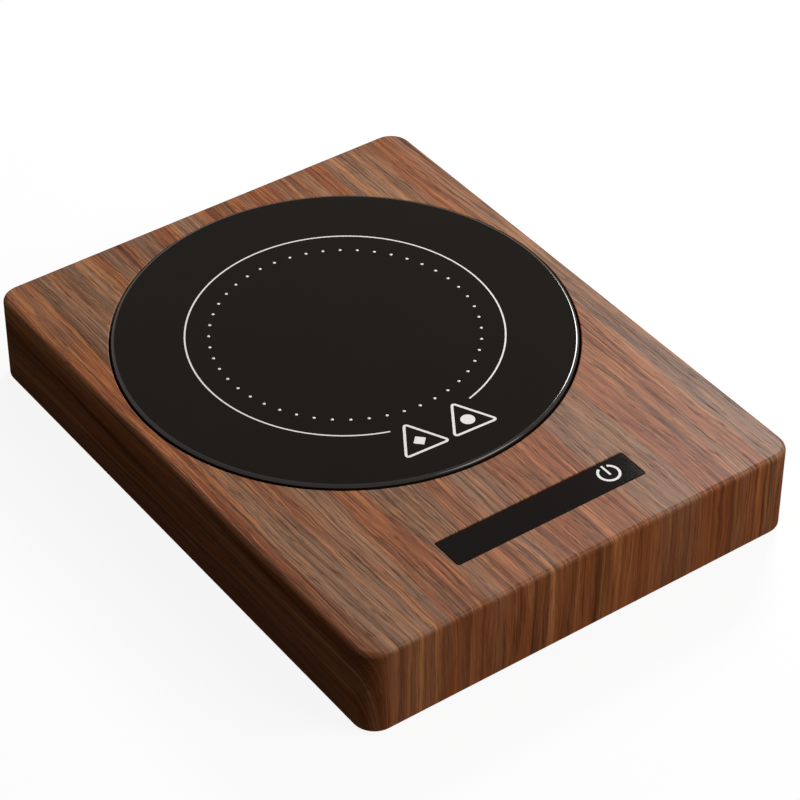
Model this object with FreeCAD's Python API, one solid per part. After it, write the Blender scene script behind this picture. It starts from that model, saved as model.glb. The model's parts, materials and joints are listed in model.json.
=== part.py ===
"""Electric mug warmer: a flat wood-look housing with a floating round glass heating plate.

All sizes are millimetres. +X runs to the right along the front edge, +Y from front to back, +Z up.
The origin lies on the surface that the feet stand on, under the middle of the housing.
"""

import FreeCAD
import Part
import math
import os

V = FreeCAD.Vector

# Glass heating plate, with its print left out
glass_radius = 60.6
glass_thickness = 4.0
glass_rim_radius = 1.0
glass_rim_bend = 0.3
glass_foot_chamfer = 0.4
glass_proud = 0.85
opening_gap = 0.5
press_travel = 0.7

# Housing
side_wall = 3.0
top_wall = 3.0
side_land = 0.9
back_land = 3.9
upright_corner_radius = 6.0
top_edge_radius = 1.4
rim_edge_chamfer = 0.3
shell_height = 25.0
collar_depth = 3.0
collar_wall = 3.0
ceiling_rib = 1.5
ceiling_rib_depth = 3.5
screw_post_radius = 3.4

# Touch strip
strip_width = 57.0
strip_depth = 9.5
strip_thickness = 2.0
strip_corner_radius = 0.5
strip_gap = 0.2
strip_sunk = 0.2
strip_ledge = 2.0
strip_set_back = 14.5
strip_to_glass = 17.4
power_key_inset = 7.1

# Bottom cover
cover_thickness = 2.2
cover_recess = 0.5
cover_gap = 0.25
cover_lip = 1.3
seat_wall = 1.6
screw_cup_wall = 1.5
screw_inset = 9.5
vent_length = 26.0
vent_width = 2.0
vent_pitch = 5.0
vent_rows = 7
vent_x = 22.0

# Feet
foot_radius = 6.5
foot_proud = 1.0
foot_sunk = 0.6
foot_edge = 0.5
foot_inset = 20.5
foot_recess_gap = 0.2

# Moving plate under the glass
bond_thickness = 0.5
bond_width = 3.0
spreader_radius = 46.0
spreader_thickness = 1.5
heater_radius = 44.0
heater_thickness = 0.8
pad_radius = 46.0
pad_thickness = 2.0
reflector_radius = 50.0
reflector_thickness = 0.45
reflector_lip = 1.4
core_radius = 12.0
carrier_floor = 1.5
carrier_wall = 2.0
carrier_inset = 1.2
carrier_ring_gap = 0.6
carrier_ring_wall = 1.2
carrier_spoke = 1.4
carrier_spoke_count = 12
tab_reach = 3.4
tab_width = 14.0
tab_thickness = 2.0
station_radius = 52.0
station_angles = (30.0, 150.0, 270.0)

# Guides and springs
guide_radius = 2.5
guide_clearance = 0.06
guide_wall = 1.4
guide_end_room = 1.3
guide_nose = 0.6
spring_wire = 0.6
spring_gap = 0.35
spring_turns = 5.0
coil_steps = 12
closed_turn = 2.4
spring_cup_wall = 1.0
spring_cup_height = 1.6

# Sensors on the spreader
sensor_radius = 2.0
sensor_length = 10.0
sensor_gap = 0.08
sensor_spread = 6.0
stud_radius = 2.5
stud_length = 2.0
clip_thickness = 0.4
clip_width = 6.0
clip_foot = 1.5
ear_width = 3.0
ear_length = 5.6
tail_radius = 0.3

# Micro switch
switch_length = 12.8
switch_width = 5.8
switch_height = 6.5
switch_edge = 0.4
switch_y_from_glass = -28.0
plunger_radius = 1.0
plunger_proud = 1.4
plunger_clearance = 0.05
plunger_room = 0.2
pusher_radius = 1.8
pusher_height = 1.0
switch_collar_radius = 1.9
switch_collar_height = 0.4
switch_hole_spacing = 6.5
switch_hole_height = 1.6
switch_wall = 2.0
switch_wall_height = 4.6
terminal_width = 1.6
terminal_thickness = 0.5
terminal_spacing = 5.0
terminal_clearance = 0.5

# Boards
board_thickness = 1.6
board_corner = 1.5
main_board_width = 96.0
main_board_depth = 34.0
main_board_front_gap = 2.0
main_board_standoff = 4.0
main_board_hole_inset = 4.0
display_board_width = 70.0
display_board_depth = 24.0
display_board_drop = 4.0
display_hole_inset = 3.5
frame_rim = 3.0
frame_rim_thickness = 1.6
frame_gap = 0.3
led_count = 7
led_pitch = 5.0
led_size = 1.6
led_height = 0.8
led_cell = 3.4
electrode_radius = 2.6
electrode_wire = 0.5
electrode_turns = 4.0
electrode_room = 0.5
post_radius = 2.8
link_pins = 5
link_pitch = 2.54
link_width = 2.5
link_pin = 0.64
link_pin_gap = 0.12
link_header_height = 2.5
link_pin_length = 3.0
part_clearance = 1.6
capacitor_radius = 3.15
capacitor_spacing = 9.0
inductor_size = 10.0
inductor_height = 4.5
inductor_core_radius = 4.2
inductor_base_height = 3.2
inductor_corner = 1.2
transistor_width = 6.5
transistor_height = 2.3
transistor_tab_width = 5.2
transistor_tab_length = 9.1
transistor_tab_thickness = 0.5
chip_length = 8.6
chip_width = 3.9
chip_height = 1.5
chip_legs = 8
chip_leg_pitch = 1.0
chip_leg_reach = 1.0
socket_depth = 6.0
socket_height = 5.0
socket_width = 8.0
socket_edge = 0.5
heater_socket_x = -24.0
sensor_socket_x = -11.0
switch_socket_x = 12.0
inlet_socket_x = 27.0

# Low-voltage inlet in the back wall
inlet_width = 9.0
inlet_height = 9.0
inlet_length = 13.0
inlet_nose_radius = 4.0
inlet_nose_gap = 0.25
inlet_set_in = 0.3
inlet_bore_radius = 3.15
inlet_bore_depth = 9.5
inlet_pin_radius = 1.05
inlet_pin_set_in = 1.2
cradle_wall = 1.6
cradle_height = 5.0
cradle_gap = 0.15

# Screws and leads
screw_shank = 1.45
screw_head_radius = 2.8
screw_head_height = 1.8
screw_length = 12.0
screw_head_room = 0.4
small_shank = 0.95
small_head_radius = 1.9
small_head_height = 1.3
small_screw_length = 5.0
thread_gap = 0.05
hole_gap = 0.15
cross_width = 0.7
cross_depth = 0.9
cross_span = 0.6
heater_lead_radius = 0.9
thin_lead_radius = 0.6
sensor_lead_radius = 0.4
lead_run = 2.4
lead_bend = 4.0
lead_gap = 0.3
bend_share = 0.3
inlet_run_radius = 40.0
inlet_run_angles = (57.0, 27.0, -6.0, -40.0)

# Levels, worked out from the bottom up
rim_z = foot_proud
top_z = rim_z + shell_height
ceiling_z = top_z - top_wall
cover_z = rim_z + cover_recess
floor_z = cover_z + cover_thickness
glass_top_z = top_z + glass_proud
glass_z = glass_top_z - glass_thickness
bond_z = glass_z - bond_thickness
spreader_z = glass_z - spreader_thickness
heater_z = spreader_z - heater_thickness
pad_z = heater_z - pad_thickness
reflector_z = pad_z - reflector_thickness
carrier_z = reflector_z - carrier_floor
stop_z = ceiling_z - collar_depth
strip_top_z = top_z - strip_sunk
strip_z = strip_top_z - strip_thickness
display_board_z = ceiling_z - display_board_drop - board_thickness
main_board_z = floor_z + main_board_standoff
main_board_top = main_board_z + board_thickness
display_board_top = display_board_z + board_thickness

# Plan sizes
opening_radius = glass_radius + opening_gap
body_width = 2 * (opening_radius + side_land + side_wall)
plate_to_back = side_wall + back_land + opening_gap
body_depth = plate_to_back + 2 * glass_radius + strip_to_glass + strip_depth + strip_set_back
front_y = -body_depth / 2
back_y = body_depth / 2
glass_y = back_y - side_wall - back_land - opening_radius
strip_y = front_y + strip_set_back + strip_depth / 2
inner_half_width = body_width / 2 - side_wall
cover_half_width = body_width / 2 - side_wall + cover_lip - cover_gap
cover_half_depth = body_depth / 2 - side_wall + cover_lip - cover_gap
carrier_radius = glass_radius - carrier_inset
guide_bore_radius = guide_radius + guide_clearance
guide_tube_radius = guide_bore_radius + guide_wall
guide_top_z = carrier_z - press_travel
spring_radius = guide_tube_radius + spring_gap + spring_wire
spring_cup_radius = spring_radius + spring_wire + spring_gap
main_board_y = front_y + side_wall + main_board_front_gap + main_board_depth / 2
display_board_y = strip_y
screw_seat_z = cover_z + screw_head_height + screw_head_room
screw_cup_top = screw_seat_z + seat_wall
screw_cup_radius = screw_head_radius + screw_head_room + screw_cup_wall
power_key_x = strip_width / 2 - power_key_inset
switch_y = glass_y + switch_y_from_glass
switch_top_z = carrier_z - pusher_height - plunger_proud
switch_z = switch_top_z - switch_height
stations = [
    (station_radius * math.cos(math.radians(a)), glass_y + station_radius * math.sin(math.radians(a)))
    for a in station_angles
]


def mirrored_places(x, y):
    """The four places at plus and minus x and y."""
    return [(sx * x, sy * y) for sx in (-1, 1) for sy in (-1, 1)]


screw_places = mirrored_places(body_width / 2 - screw_inset, body_depth / 2 - screw_inset)
screw_places += [(side * (body_width / 2 - screw_inset), front_y + body_depth / 4) for side in (-1, 1)]
foot_places = mirrored_places(body_width / 2 - foot_inset, body_depth / 2 - foot_inset)
main_screw_places = [
    (x, main_board_y + y)
    for x, y in mirrored_places(
        main_board_width / 2 - main_board_hole_inset, main_board_depth / 2 - main_board_hole_inset
    )
]
display_screw_places = [
    (x, display_board_y + y)
    for x, y in mirrored_places(
        display_board_width / 2 - display_hole_inset, display_board_depth / 2 - display_hole_inset
    )
]


def rod(radius, low, high, x=0.0, y=0.0):
    """Upright cylinder between two heights."""
    return Part.makeCylinder(radius, high - low, V(x, y, low))


def tube(outer, inner, low, high, x=0.0, y=0.0):
    """Upright tube between two heights."""
    return rod(outer, low, high, x, y).cut(rod(inner, low, high, x, y))


def block(width, depth, low, high, x=0.0, y=0.0):
    """Block centred on a place, between two heights."""
    return Part.makeBox(width, depth, high - low, V(x - width / 2, y - depth / 2, low))


def rounded_block(width, depth, radius, low, high, x=0.0, y=0.0):
    """Block with round upright edges."""
    body = block(width, depth, low, high, x, y)
    return body.makeFillet(radius, upright_edges(body))


def upright_edges(body):
    """Straight edges that run along Z."""
    return [e for e in body.Edges if abs(e.tangentAt(e.FirstParameter).z) > 0.999]


def edges_at(body, height):
    """Edges that lie wholly at one height."""
    near = 1e-4
    return [e for e in body.Edges if abs(e.BoundBox.ZMin - height) + abs(e.BoundBox.ZMax - height) < near]


def joined(shapes):
    """One solid from several that meet."""
    shapes = list(shapes)
    return shapes[0].fuse(shapes[1:]).removeSplitter()


def group(shapes):
    """Separate solids under one name."""
    return Part.makeCompound([s for shape in shapes for s in shape.Solids])


def turned(shape, angle, x=0.0, y=0.0):
    """Copy turned about an upright line."""
    copy = shape.copy()
    copy.rotate(V(x, y, 0), V(0, 0, 1), angle)
    return copy


def revolved(points, x=0.0, y=0.0):
    """Solid of revolution about an upright line, from (radius, height) points."""
    outline = Part.makePolygon([V(radius, 0, height) for radius, height in points + points[:1]])
    solid = Part.Face(outline).revolve(V(0, 0, 0), V(0, 0, 1), 360)
    solid.translate(V(x, y, 0))
    return solid


def across(radius, length, x, y, z):
    """Cylinder that lies along Y, from its front end."""
    return Part.makeCylinder(radius, length, V(x, y, z), V(0, 1, 0))


def six_sided(centre, way, radius):
    """Hexagon outline square to a direction, as the section of a thin wire."""
    upright = abs(way.z) > 0.99
    side = V(1, 0, 0) if upright else V(way.cross(V(0, 0, 1))).normalize()
    other = way.cross(side)
    corners = []
    for n in range(6):
        angle = math.radians(60 * n)
        corners.append(centre + side * (radius * math.cos(angle)) + other * (radius * math.sin(angle)))
    return Part.makePolygon(corners + corners[:1])


def coil(radius, wire, low, high, turns, x, y):
    """Compression spring that fills the height, with one closed turn at each end."""
    height = high - low - 2 * wire
    closed = closed_turn * wire

    def rise(turn):
        if turn <= 1:
            return closed * turn
        if turn >= turns - 1:
            return height - closed * (turns - turn)
        return closed + (height - 2 * closed) * (turn - 1) / (turns - 2)

    sections = []
    steps = int(round(turns * coil_steps))
    for step in range(steps + 1):
        turn = step / coil_steps
        angle = 2 * math.pi * turn
        near = 1 / coil_steps
        slope = (rise(min(turn + near, turns)) - rise(max(turn - near, 0))) / (2 * near)
        way = V(-math.sin(angle), math.cos(angle), slope / (2 * math.pi * radius)).normalize()
        centre = V(x + radius * math.cos(angle), y + radius * math.sin(angle), low + wire + rise(turn))
        sections.append(six_sided(centre, way, wire))
    return Part.makeLoft(sections, True, True)


def lead(points, radius):
    """Slim six-sided lead along straight runs, with each corner cut off."""
    points = [V(*p) for p in points]
    route = points[:1]
    for before, corner, after in zip(points, points[1:], points[2:]):
        cut = bend_share * min((corner - before).Length, (after - corner).Length)
        route.append(corner - V(corner - before).normalize() * cut)
        route.append(corner + V(after - corner).normalize() * cut)
    route.append(points[-1])
    section = six_sided(points[0], V(points[1] - points[0]).normalize(), radius)
    mitred = 1
    return Part.makePolygon(route).makePipeShell([section], True, False, mitred)


def screw(shank, length, head_radius, head_height, x, y, seat, down=True):
    """Pan-head screw whose head bears on the seat. Its shank points up when the head hangs down."""
    rim = head_height / 2
    profile = [
        (0, -head_height),
        (head_radius - rim, -head_height),
        (head_radius, -head_height + rim),
        (head_radius, 0),
        (shank, 0),
        (shank, length),
        (0, length),
    ]
    body = revolved(profile)
    for angle in (0, 90):
        slot = block(cross_width, 2 * head_radius * cross_span, -head_height, cross_depth - head_height)
        body = body.cut(turned(slot, angle))
    if not down:
        body.rotate(V(0, 0, 0), V(1, 0, 0), 180)
    body.translate(V(x, y, seat))
    return body


def glass_plate():
    """Black glass disc with a polished round rim."""
    profile = [
        (0, glass_z),
        (glass_radius - glass_foot_chamfer, glass_z),
        (glass_radius, glass_z + glass_foot_chamfer),
        (glass_radius, glass_top_z - glass_rim_radius),
        (glass_radius - glass_rim_bend, glass_top_z - glass_rim_bend),
        (glass_radius - glass_rim_radius, glass_top_z),
        (0, glass_top_z),
    ]
    return revolved(profile, 0, glass_y)


def top_housing():
    """Wood-look shell: plate opening with its collar, strip pocket, screw posts, ribs and inlet hole."""
    outer = rounded_block(body_width, body_depth, upright_corner_radius, rim_z, top_z)
    outer = outer.makeFillet(top_edge_radius, edges_at(outer, top_z))
    outer = outer.makeChamfer(rim_edge_chamfer, edges_at(outer, rim_z))
    inner_radius = upright_corner_radius - side_wall
    inner_depth = body_depth - 2 * side_wall
    cavity = rounded_block(2 * inner_half_width, inner_depth, inner_radius, rim_z, ceiling_z)
    rabbet = rounded_block(
        2 * (cover_half_width + cover_gap),
        2 * (cover_half_depth + cover_gap),
        upright_corner_radius - side_wall + cover_lip,
        rim_z,
        floor_z,
    )
    shell = outer.cut([cavity, rabbet])
    collar = rod(opening_radius + collar_wall, stop_z, ceiling_z, 0, glass_y)
    collar = collar.common(block(2 * inner_half_width, inner_depth, stop_z, ceiling_z))
    posts = [rod(screw_post_radius, screw_cup_top, ceiling_z, x, y) for x, y in screw_places]
    webs = [post_web(x, y) for x, y in screw_places]
    display_posts = [rod(post_radius, display_board_top, ceiling_z, x, y) for x, y in display_screw_places]
    shell = joined([shell, collar, *posts, *webs, *display_posts, *ceiling_ribs()])
    pilot_top = screw_seat_z + screw_length
    pilots = [rod(screw_shank + thread_gap, screw_cup_top, pilot_top, x, y) for x, y in screw_places]
    pilots += [
        rod(small_shank + thread_gap, display_board_top, display_board_z + small_screw_length, x, y)
        for x, y in display_screw_places
    ]
    opening = rod(opening_radius, stop_z, top_z, 0, glass_y)
    pocket = rounded_block(
        strip_width + 2 * strip_gap,
        strip_depth + 2 * strip_gap,
        strip_corner_radius + strip_gap,
        strip_z,
        top_z,
        0,
        strip_y,
    )
    window_width = strip_width - 2 * strip_ledge
    window_depth = strip_depth - 2 * strip_ledge
    window = block(window_width, window_depth, ceiling_z, strip_z, 0, strip_y)
    hole_radius = inlet_nose_radius + inlet_nose_gap
    inlet_hole = across(hole_radius, side_wall, 0, back_y - side_wall, inlet_axis_z())
    return shell.cut([opening, pocket, window, inlet_hole, *pilots])


def post_web(x, y):
    """Rib from a screw post to the nearer side wall."""
    side = math.copysign(1, x)
    reach = inner_half_width - abs(x)
    return block(reach, ceiling_rib, screw_cup_top + seat_wall, ceiling_z, x + side * reach / 2, y)


def ceiling_ribs():
    """Stiffening ribs under the top wall round the strip."""
    low = ceiling_z - ceiling_rib_depth
    back = glass_y - opening_radius - collar_wall
    front = front_y + side_wall
    side_x = display_board_width / 2 + 2 * post_radius
    middle = (back + front) / 2
    ribs = [block(ceiling_rib, back - front, low, ceiling_z, x, middle) for x in (-side_x, side_x)]
    cross_y = display_board_y + display_board_depth / 2 + ceiling_rib
    ribs.append(block(2 * inner_half_width, ceiling_rib, low, ceiling_z, 0, cross_y))
    return ribs


def control_window():
    """Black touch strip, seated on the pocket's ledge."""
    return rounded_block(strip_width, strip_depth, strip_corner_radius, strip_z, strip_top_z, 0, strip_y)


def bottom_cover():
    """Moulded cover with guide tubes, spring cups, board posts, switch wall and inlet cradle."""
    radius = upright_corner_radius - side_wall + cover_lip - cover_gap
    plate = rounded_block(2 * cover_half_width, 2 * cover_half_depth, radius, cover_z, floor_z)
    cups = [rod(screw_cup_radius, cover_z, screw_cup_top, x, y) for x, y in screw_places]
    inside = rounded_block(
        2 * (inner_half_width - cover_gap),
        body_depth - 2 * (side_wall + cover_gap),
        upright_corner_radius - side_wall,
        cover_z,
        screw_cup_top,
    )
    cups = [cup.common(inside) for cup in cups]
    tubes = [rod(guide_tube_radius, cover_z, guide_top_z, x, y) for x, y in stations]
    cup_outer = spring_cup_radius + spring_cup_wall
    cup_top = floor_z + spring_cup_height
    spring_cups = [tube(cup_outer, spring_cup_radius, cover_z, cup_top, x, y) for x, y in stations]
    board_posts = [rod(post_radius, cover_z, main_board_z, x, y) for x, y in main_screw_places]
    body = joined([plate, *cups, *tubes, *spring_cups, *board_posts, *switch_wall_parts(), *cradle_parts()])
    cuts = [rod(guide_bore_radius, floor_z, guide_top_z, x, y) for x, y in stations]
    cuts += [rod(screw_head_radius + screw_head_room, cover_z, screw_seat_z, x, y) for x, y in screw_places]
    cuts += [rod(screw_shank + screw_head_room / 2, cover_z, screw_cup_top, x, y) for x, y in screw_places]
    cuts += [rod(foot_radius + foot_recess_gap, cover_z, cover_z + foot_sunk, x, y) for x, y in foot_places]
    cuts += [
        rod(small_shank + thread_gap, main_board_top - small_screw_length, main_board_z, x, y)
        for x, y in main_screw_places
    ]
    cuts += switch_bores(small_shank + thread_gap, switch_y + switch_width / 2, switch_wall)
    cuts += vents()
    return body.cut(cuts)


def vents():
    """Two banks of air slots under the heater."""
    rows = [glass_y + (row - (vent_rows - 1) / 2) * vent_pitch for row in range(vent_rows)]
    return [block(vent_length, vent_width, cover_z, floor_z, x, y) for x in (-vent_x, vent_x) for y in rows]


def switch_wall_parts():
    """Upright wall that the micro switch is screwed to, with a foot rib."""
    y = switch_y + switch_width / 2 + switch_wall / 2
    wall = block(switch_length + switch_wall, switch_wall, cover_z, switch_z + switch_wall_height, 0, y)
    foot = block(switch_wall, 3 * switch_wall, cover_z, switch_z, 0, y + switch_wall)
    return [wall, foot]


def switch_bores(radius, y, length):
    """Two bores for the switch screws, from one level to another along Y."""
    z = switch_z + switch_hole_height
    return [across(radius, length, side * switch_hole_spacing / 2, y, z) for side in (-1, 1)]


def inlet_axis_z():
    """Height of the inlet's centre line."""
    return floor_z + inlet_height / 2


def cradle_parts():
    """Side ribs and end stop that hold the inlet."""
    length = inlet_length - side_wall
    middle = back_y - side_wall - cover_gap - length / 2
    x = inlet_width / 2 + cradle_gap + cradle_wall / 2
    rib_top = floor_z + cradle_height
    sides = [block(cradle_wall, length, cover_z, rib_top, rib_x, middle) for rib_x in (-x, x)]
    stop_y = back_y - inlet_set_in - inlet_length - cradle_gap - cradle_wall / 2
    stop = block(inlet_width / 2, cradle_wall, cover_z, floor_z + cradle_height / 2, 0, stop_y)
    return [*sides, stop]


def cover_screws():
    """Screws that hold the cover to the housing's posts."""
    return group(
        screw(screw_shank, screw_length, screw_head_radius, screw_head_height, x, y, screw_seat_z)
        for x, y in screw_places
    )


def rubber_feet():
    """Soft pads in the cover's round recesses."""
    top = cover_z + foot_sunk
    profile = [(0, 0), (foot_radius - foot_edge, 0), (foot_radius, foot_edge), (foot_radius, top), (0, top)]
    return group(revolved(profile, x, y) for x, y in foot_places)


def glass_gasket():
    """Silicone ring that bonds the glass to its carrier."""
    return tube(carrier_radius, carrier_radius - bond_width, bond_z, glass_z, 0, glass_y)


def spreader_plate():
    """Aluminium disc with a threaded stud for the sensor clip."""
    disc = rod(spreader_radius, spreader_z, glass_z, 0, glass_y)
    stud = tube(stud_radius, small_shank + thread_gap, spreader_z - stud_length, spreader_z, 0, glass_y)
    return joined([disc, stud])


def heating_element():
    """Flat foil heater round the sensors, with two terminal ears."""
    ring = tube(heater_radius, core_radius, heater_z, spreader_z, 0, glass_y)
    y = glass_y + core_radius - ear_length / 2
    ears = [block(ear_width, ear_length, heater_z, spreader_z, side * sensor_spread, y) for side in (-1, 1)]
    return joined([ring, *ears])


def insulation_pad():
    """Fibre pad under the heater."""
    return tube(pad_radius, core_radius, pad_z, heater_z, 0, glass_y)


def heat_reflector():
    """Thin aluminium tray with an upstanding lip."""
    flat = tube(reflector_radius, core_radius, reflector_z, pad_z, 0, glass_y)
    lip_inner = reflector_radius - reflector_thickness
    lip = tube(reflector_radius, lip_inner, reflector_z, pad_z + reflector_lip, 0, glass_y)
    return joined([flat, lip])


def plate_carrier():
    """Moulded tray with spokes, stop tabs, guide posts and the switch pusher."""
    inner = carrier_radius - carrier_wall
    profile = [
        (core_radius, carrier_z),
        (carrier_radius - carrier_wall, carrier_z),
        (carrier_radius, carrier_z + carrier_wall),
        (carrier_radius, bond_z),
        (inner, bond_z),
        (inner, reflector_z),
        (core_radius, reflector_z),
    ]
    tray = revolved(profile, 0, glass_y)
    ring_inner = reflector_radius + carrier_ring_gap
    ring = tube(ring_inner + carrier_ring_wall, ring_inner, carrier_z, pad_z + reflector_lip, 0, glass_y)
    spoke_length = inner - ring_inner
    step = 360 / carrier_spoke_count
    spoke_x = ring_inner + spoke_length / 2
    spoke = block(spoke_length, carrier_spoke, carrier_z, pad_z + reflector_lip, spoke_x, glass_y)
    spokes = [turned(spoke, step * n, 0, glass_y) for n in range(carrier_spoke_count)]
    tab_end = opening_radius + tab_reach
    tab_x = (ring_inner + tab_end) / 2
    tab_low = stop_z - tab_thickness
    tab = rounded_block(tab_end - ring_inner, tab_width, tab_thickness, tab_low, stop_z, tab_x, glass_y)
    tabs = [turned(tab, angle, 0, glass_y) for angle in station_angles]
    post_end = floor_z + guide_end_room
    posts = []
    for x, y in stations:
        profile = [
            (0, post_end),
            (guide_radius - guide_nose, post_end),
            (guide_radius, post_end + guide_nose),
            (guide_radius, reflector_z),
            (0, reflector_z),
        ]
        posts.append(revolved(profile, x, y))
    pusher = rod(pusher_radius, carrier_z - pusher_height, reflector_z, 0, switch_y)
    return joined([tray, ring, *spokes, *tabs, *posts, pusher])


def plate_springs():
    """Three compression springs round the guide tubes, between cover and carrier."""
    return group(
        coil(spring_radius, spring_wire / 2, floor_z, carrier_z, spring_turns, x, y) for x, y in stations
    )


def sensor_axis_z():
    """Height of the sensors' centre lines, just under the spreader."""
    return spreader_z - sensor_radius - sensor_gap


def sensor_rod(side):
    """Round sensor body that lies along Y under the spreader."""
    front = glass_y - sensor_length / 2
    return across(sensor_radius, sensor_length, side * sensor_spread, front, sensor_axis_z())


def thermistor():
    """Temperature sensor in its sleeve."""
    return sensor_rod(-1)


def ear_end_y():
    """Where the leads meet the heater's ears, inside the core hole."""
    return glass_y + core_radius - ear_length + ear_width / 2


def thermal_fuse():
    """Cut-out with one axial tail that turns up to the heater's ear."""
    z = sensor_axis_z()
    start = glass_y + sensor_length / 2 - ear_width / 2
    end = ear_end_y()
    x = sensor_spread
    tail = lead([(x, start, z), (x, end, z), (x, end, heater_z)], tail_radius)
    return joined([sensor_rod(1), tail])


def sensor_clip():
    """Spring steel strip: flat under the stud, with a saddle round each sensor."""
    centre_z = sensor_axis_z()
    inner = sensor_radius + sensor_gap
    outer = inner + clip_thickness
    flat_top = spreader_z - stud_length
    flat_low = flat_top - clip_thickness
    parts = [block(2 * (sensor_spread - inner), clip_width, flat_low, flat_top, 0, glass_y)]
    front = glass_y - clip_width / 2
    for side in (-1, 1):
        x = side * sensor_spread
        ring = across(outer, clip_width, x, front, centre_z)
        ring = ring.cut(across(inner, clip_width, x, front, centre_z))
        parts.append(ring.common(block(2 * outer, clip_width, centre_z - outer, flat_top, x, glass_y)))
        foot_x = side * (sensor_spread + inner + clip_thickness / 2)
        parts.append(block(clip_thickness, clip_width, flat_low, centre_z + clip_foot, foot_x, glass_y))
    return joined(parts).cut(rod(small_shank + hole_gap, 0, top_z, 0, glass_y))


def clip_screw():
    """Screw from below into the spreader's stud."""
    seat = spreader_z - stud_length - clip_thickness
    length = stud_length + clip_thickness - sensor_gap
    return screw(small_shank, length, small_head_radius, small_head_height, 0, glass_y, seat)


def micro_switch():
    """Switch case with a collar round its plunger and two cross holes."""
    case = block(switch_length, switch_width, switch_z, switch_top_z - switch_collar_height, 0, switch_y)
    case = case.makeChamfer(switch_edge, upright_edges(case))
    collar = rod(switch_collar_radius, switch_z, switch_top_z, 0, switch_y)
    case = joined([case, collar])
    well_low = switch_top_z - plunger_depth()
    well = rod(plunger_radius + plunger_clearance, well_low, switch_top_z, 0, switch_y)
    holes = switch_bores(small_shank + hole_gap, switch_y - switch_width / 2, switch_width)
    return case.cut([well, *holes])


def plunger_depth():
    """Depth of the plunger's well below the collar."""
    return 2 * plunger_proud + press_travel + plunger_room


def switch_plunger():
    """Plunger that the carrier's pusher rests on."""
    low = switch_top_z - plunger_depth() + press_travel + plunger_room
    return rod(plunger_radius, low, switch_top_z + plunger_proud, 0, switch_y)


def switch_terminals():
    """Three flat tags under the switch."""
    low = floor_z + terminal_clearance
    places = (-terminal_spacing, 0, terminal_spacing)
    return group(block(terminal_width, terminal_thickness, low, switch_z, x, switch_y) for x in places)


def switch_screws():
    """Two screws through the switch into its wall."""
    length = switch_width + switch_wall
    front = switch_y - switch_width / 2
    shapes = []
    for side in (-1, 1):
        body = screw(small_shank, length, small_head_radius, small_head_height, 0, 0, 0)
        body.rotate(V(0, 0, 0), V(1, 0, 0), -90)
        body.translate(V(side * switch_hole_spacing / 2, front, switch_z + switch_hole_height))
        shapes.append(body)
    return group(shapes)


def small_screw(x, y, seat, down=True):
    """Screw that holds a board to a post."""
    return screw(small_shank, small_screw_length, small_head_radius, small_head_height, x, y, seat, down)


def board(width, depth, low, y, holes):
    """Circuit board with round corners and screw holes."""
    plate = rounded_block(width, depth, board_corner, low, low + board_thickness, 0, y)
    return plate.cut([rod(small_shank + hole_gap, low, low + board_thickness, hx, hy) for hx, hy in holes])


def main_board():
    """Board on the cover's posts."""
    return board(main_board_width, main_board_depth, main_board_z, main_board_y, main_screw_places)


def board_screws():
    """Screws that hold the main board down."""
    return group(small_screw(x, y, main_board_top, down=False) for x, y in main_screw_places)


def display_board():
    """Board under the touch strip."""
    width = display_board_width
    return board(width, display_board_depth, display_board_z, display_board_y, display_screw_places)


def display_screws():
    """Screws that hold the display board up."""
    return group(small_screw(x, y, display_board_z) for x, y in display_screw_places)


def display_frame():
    """Black light box between the display board and the strip."""
    neck_width = strip_width - 2 * strip_ledge - 2 * frame_gap
    neck_depth = strip_depth - 2 * strip_ledge - 2 * frame_gap
    neck = block(neck_width, neck_depth, display_board_top, strip_z, 0, strip_y)
    rim_top = display_board_top + frame_rim_thickness
    rim_width = neck_width + 2 * frame_rim
    rim_depth = neck_depth + 2 * frame_rim
    rim = block(rim_width, rim_depth, display_board_top, rim_top, 0, strip_y)
    cells = [block(led_cell, led_cell, display_board_top, strip_z, x, strip_y) for x in led_places()]
    well = rod(electrode_radius + electrode_room, display_board_top, strip_z, power_key_x, strip_y)
    return joined([neck, rim]).cut([*cells, well])


def led_places():
    """X places of the indicator lights, left of the power key."""
    first = power_key_x - electrode_radius - electrode_room - led_pitch
    return [first - led_pitch * n for n in range(led_count)]


def indicator_leds():
    """Small lights on the display board, one in each cell."""
    high = display_board_top + led_height
    return group(block(led_size, led_size / 2, display_board_top, high, x, strip_y) for x in led_places())


def touch_electrode():
    """Spring contact that carries the power key's touch signal to the strip."""
    wire = electrode_wire / 2
    radius = electrode_radius - wire
    return coil(radius, wire, display_board_top, strip_z, electrode_turns, power_key_x, strip_y)


def chip(x, y, low, above=True):
    """Flat chip with a row of legs on each side, above or below a board face."""
    way = 1 if above else -1
    body_low = min(low, low + way * chip_height)
    body = block(chip_length, chip_width, body_low, body_low + chip_height, x, y)
    leg_low = min(low, low + way * chip_height / 3)
    span = chip_width + 2 * chip_leg_reach
    places = [x + (n - (chip_legs - 1) / 2) * chip_leg_pitch for n in range(chip_legs)]
    leg_high = leg_low + chip_height / 3
    legs = [block(chip_leg_pitch / 2, span, leg_low, leg_high, leg_x, y) for leg_x in places]
    return joined([body, *legs])


def touch_chip():
    """Touch sensor chip under the display board."""
    return chip(-display_board_width / 5, display_board_y + display_board_depth / 5, display_board_z, False)


def control_chip():
    """Controller on the main board."""
    return chip(main_board_width / 8, main_board_y + main_board_depth / 8, main_board_top)


def link_y():
    """Line of the pins between the two boards."""
    return display_board_y - display_board_depth / 2 + link_width


def link_places():
    """X places of the pins."""
    return [(n - (link_pins - 1) / 2) * link_pitch for n in range(link_pins)]


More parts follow.
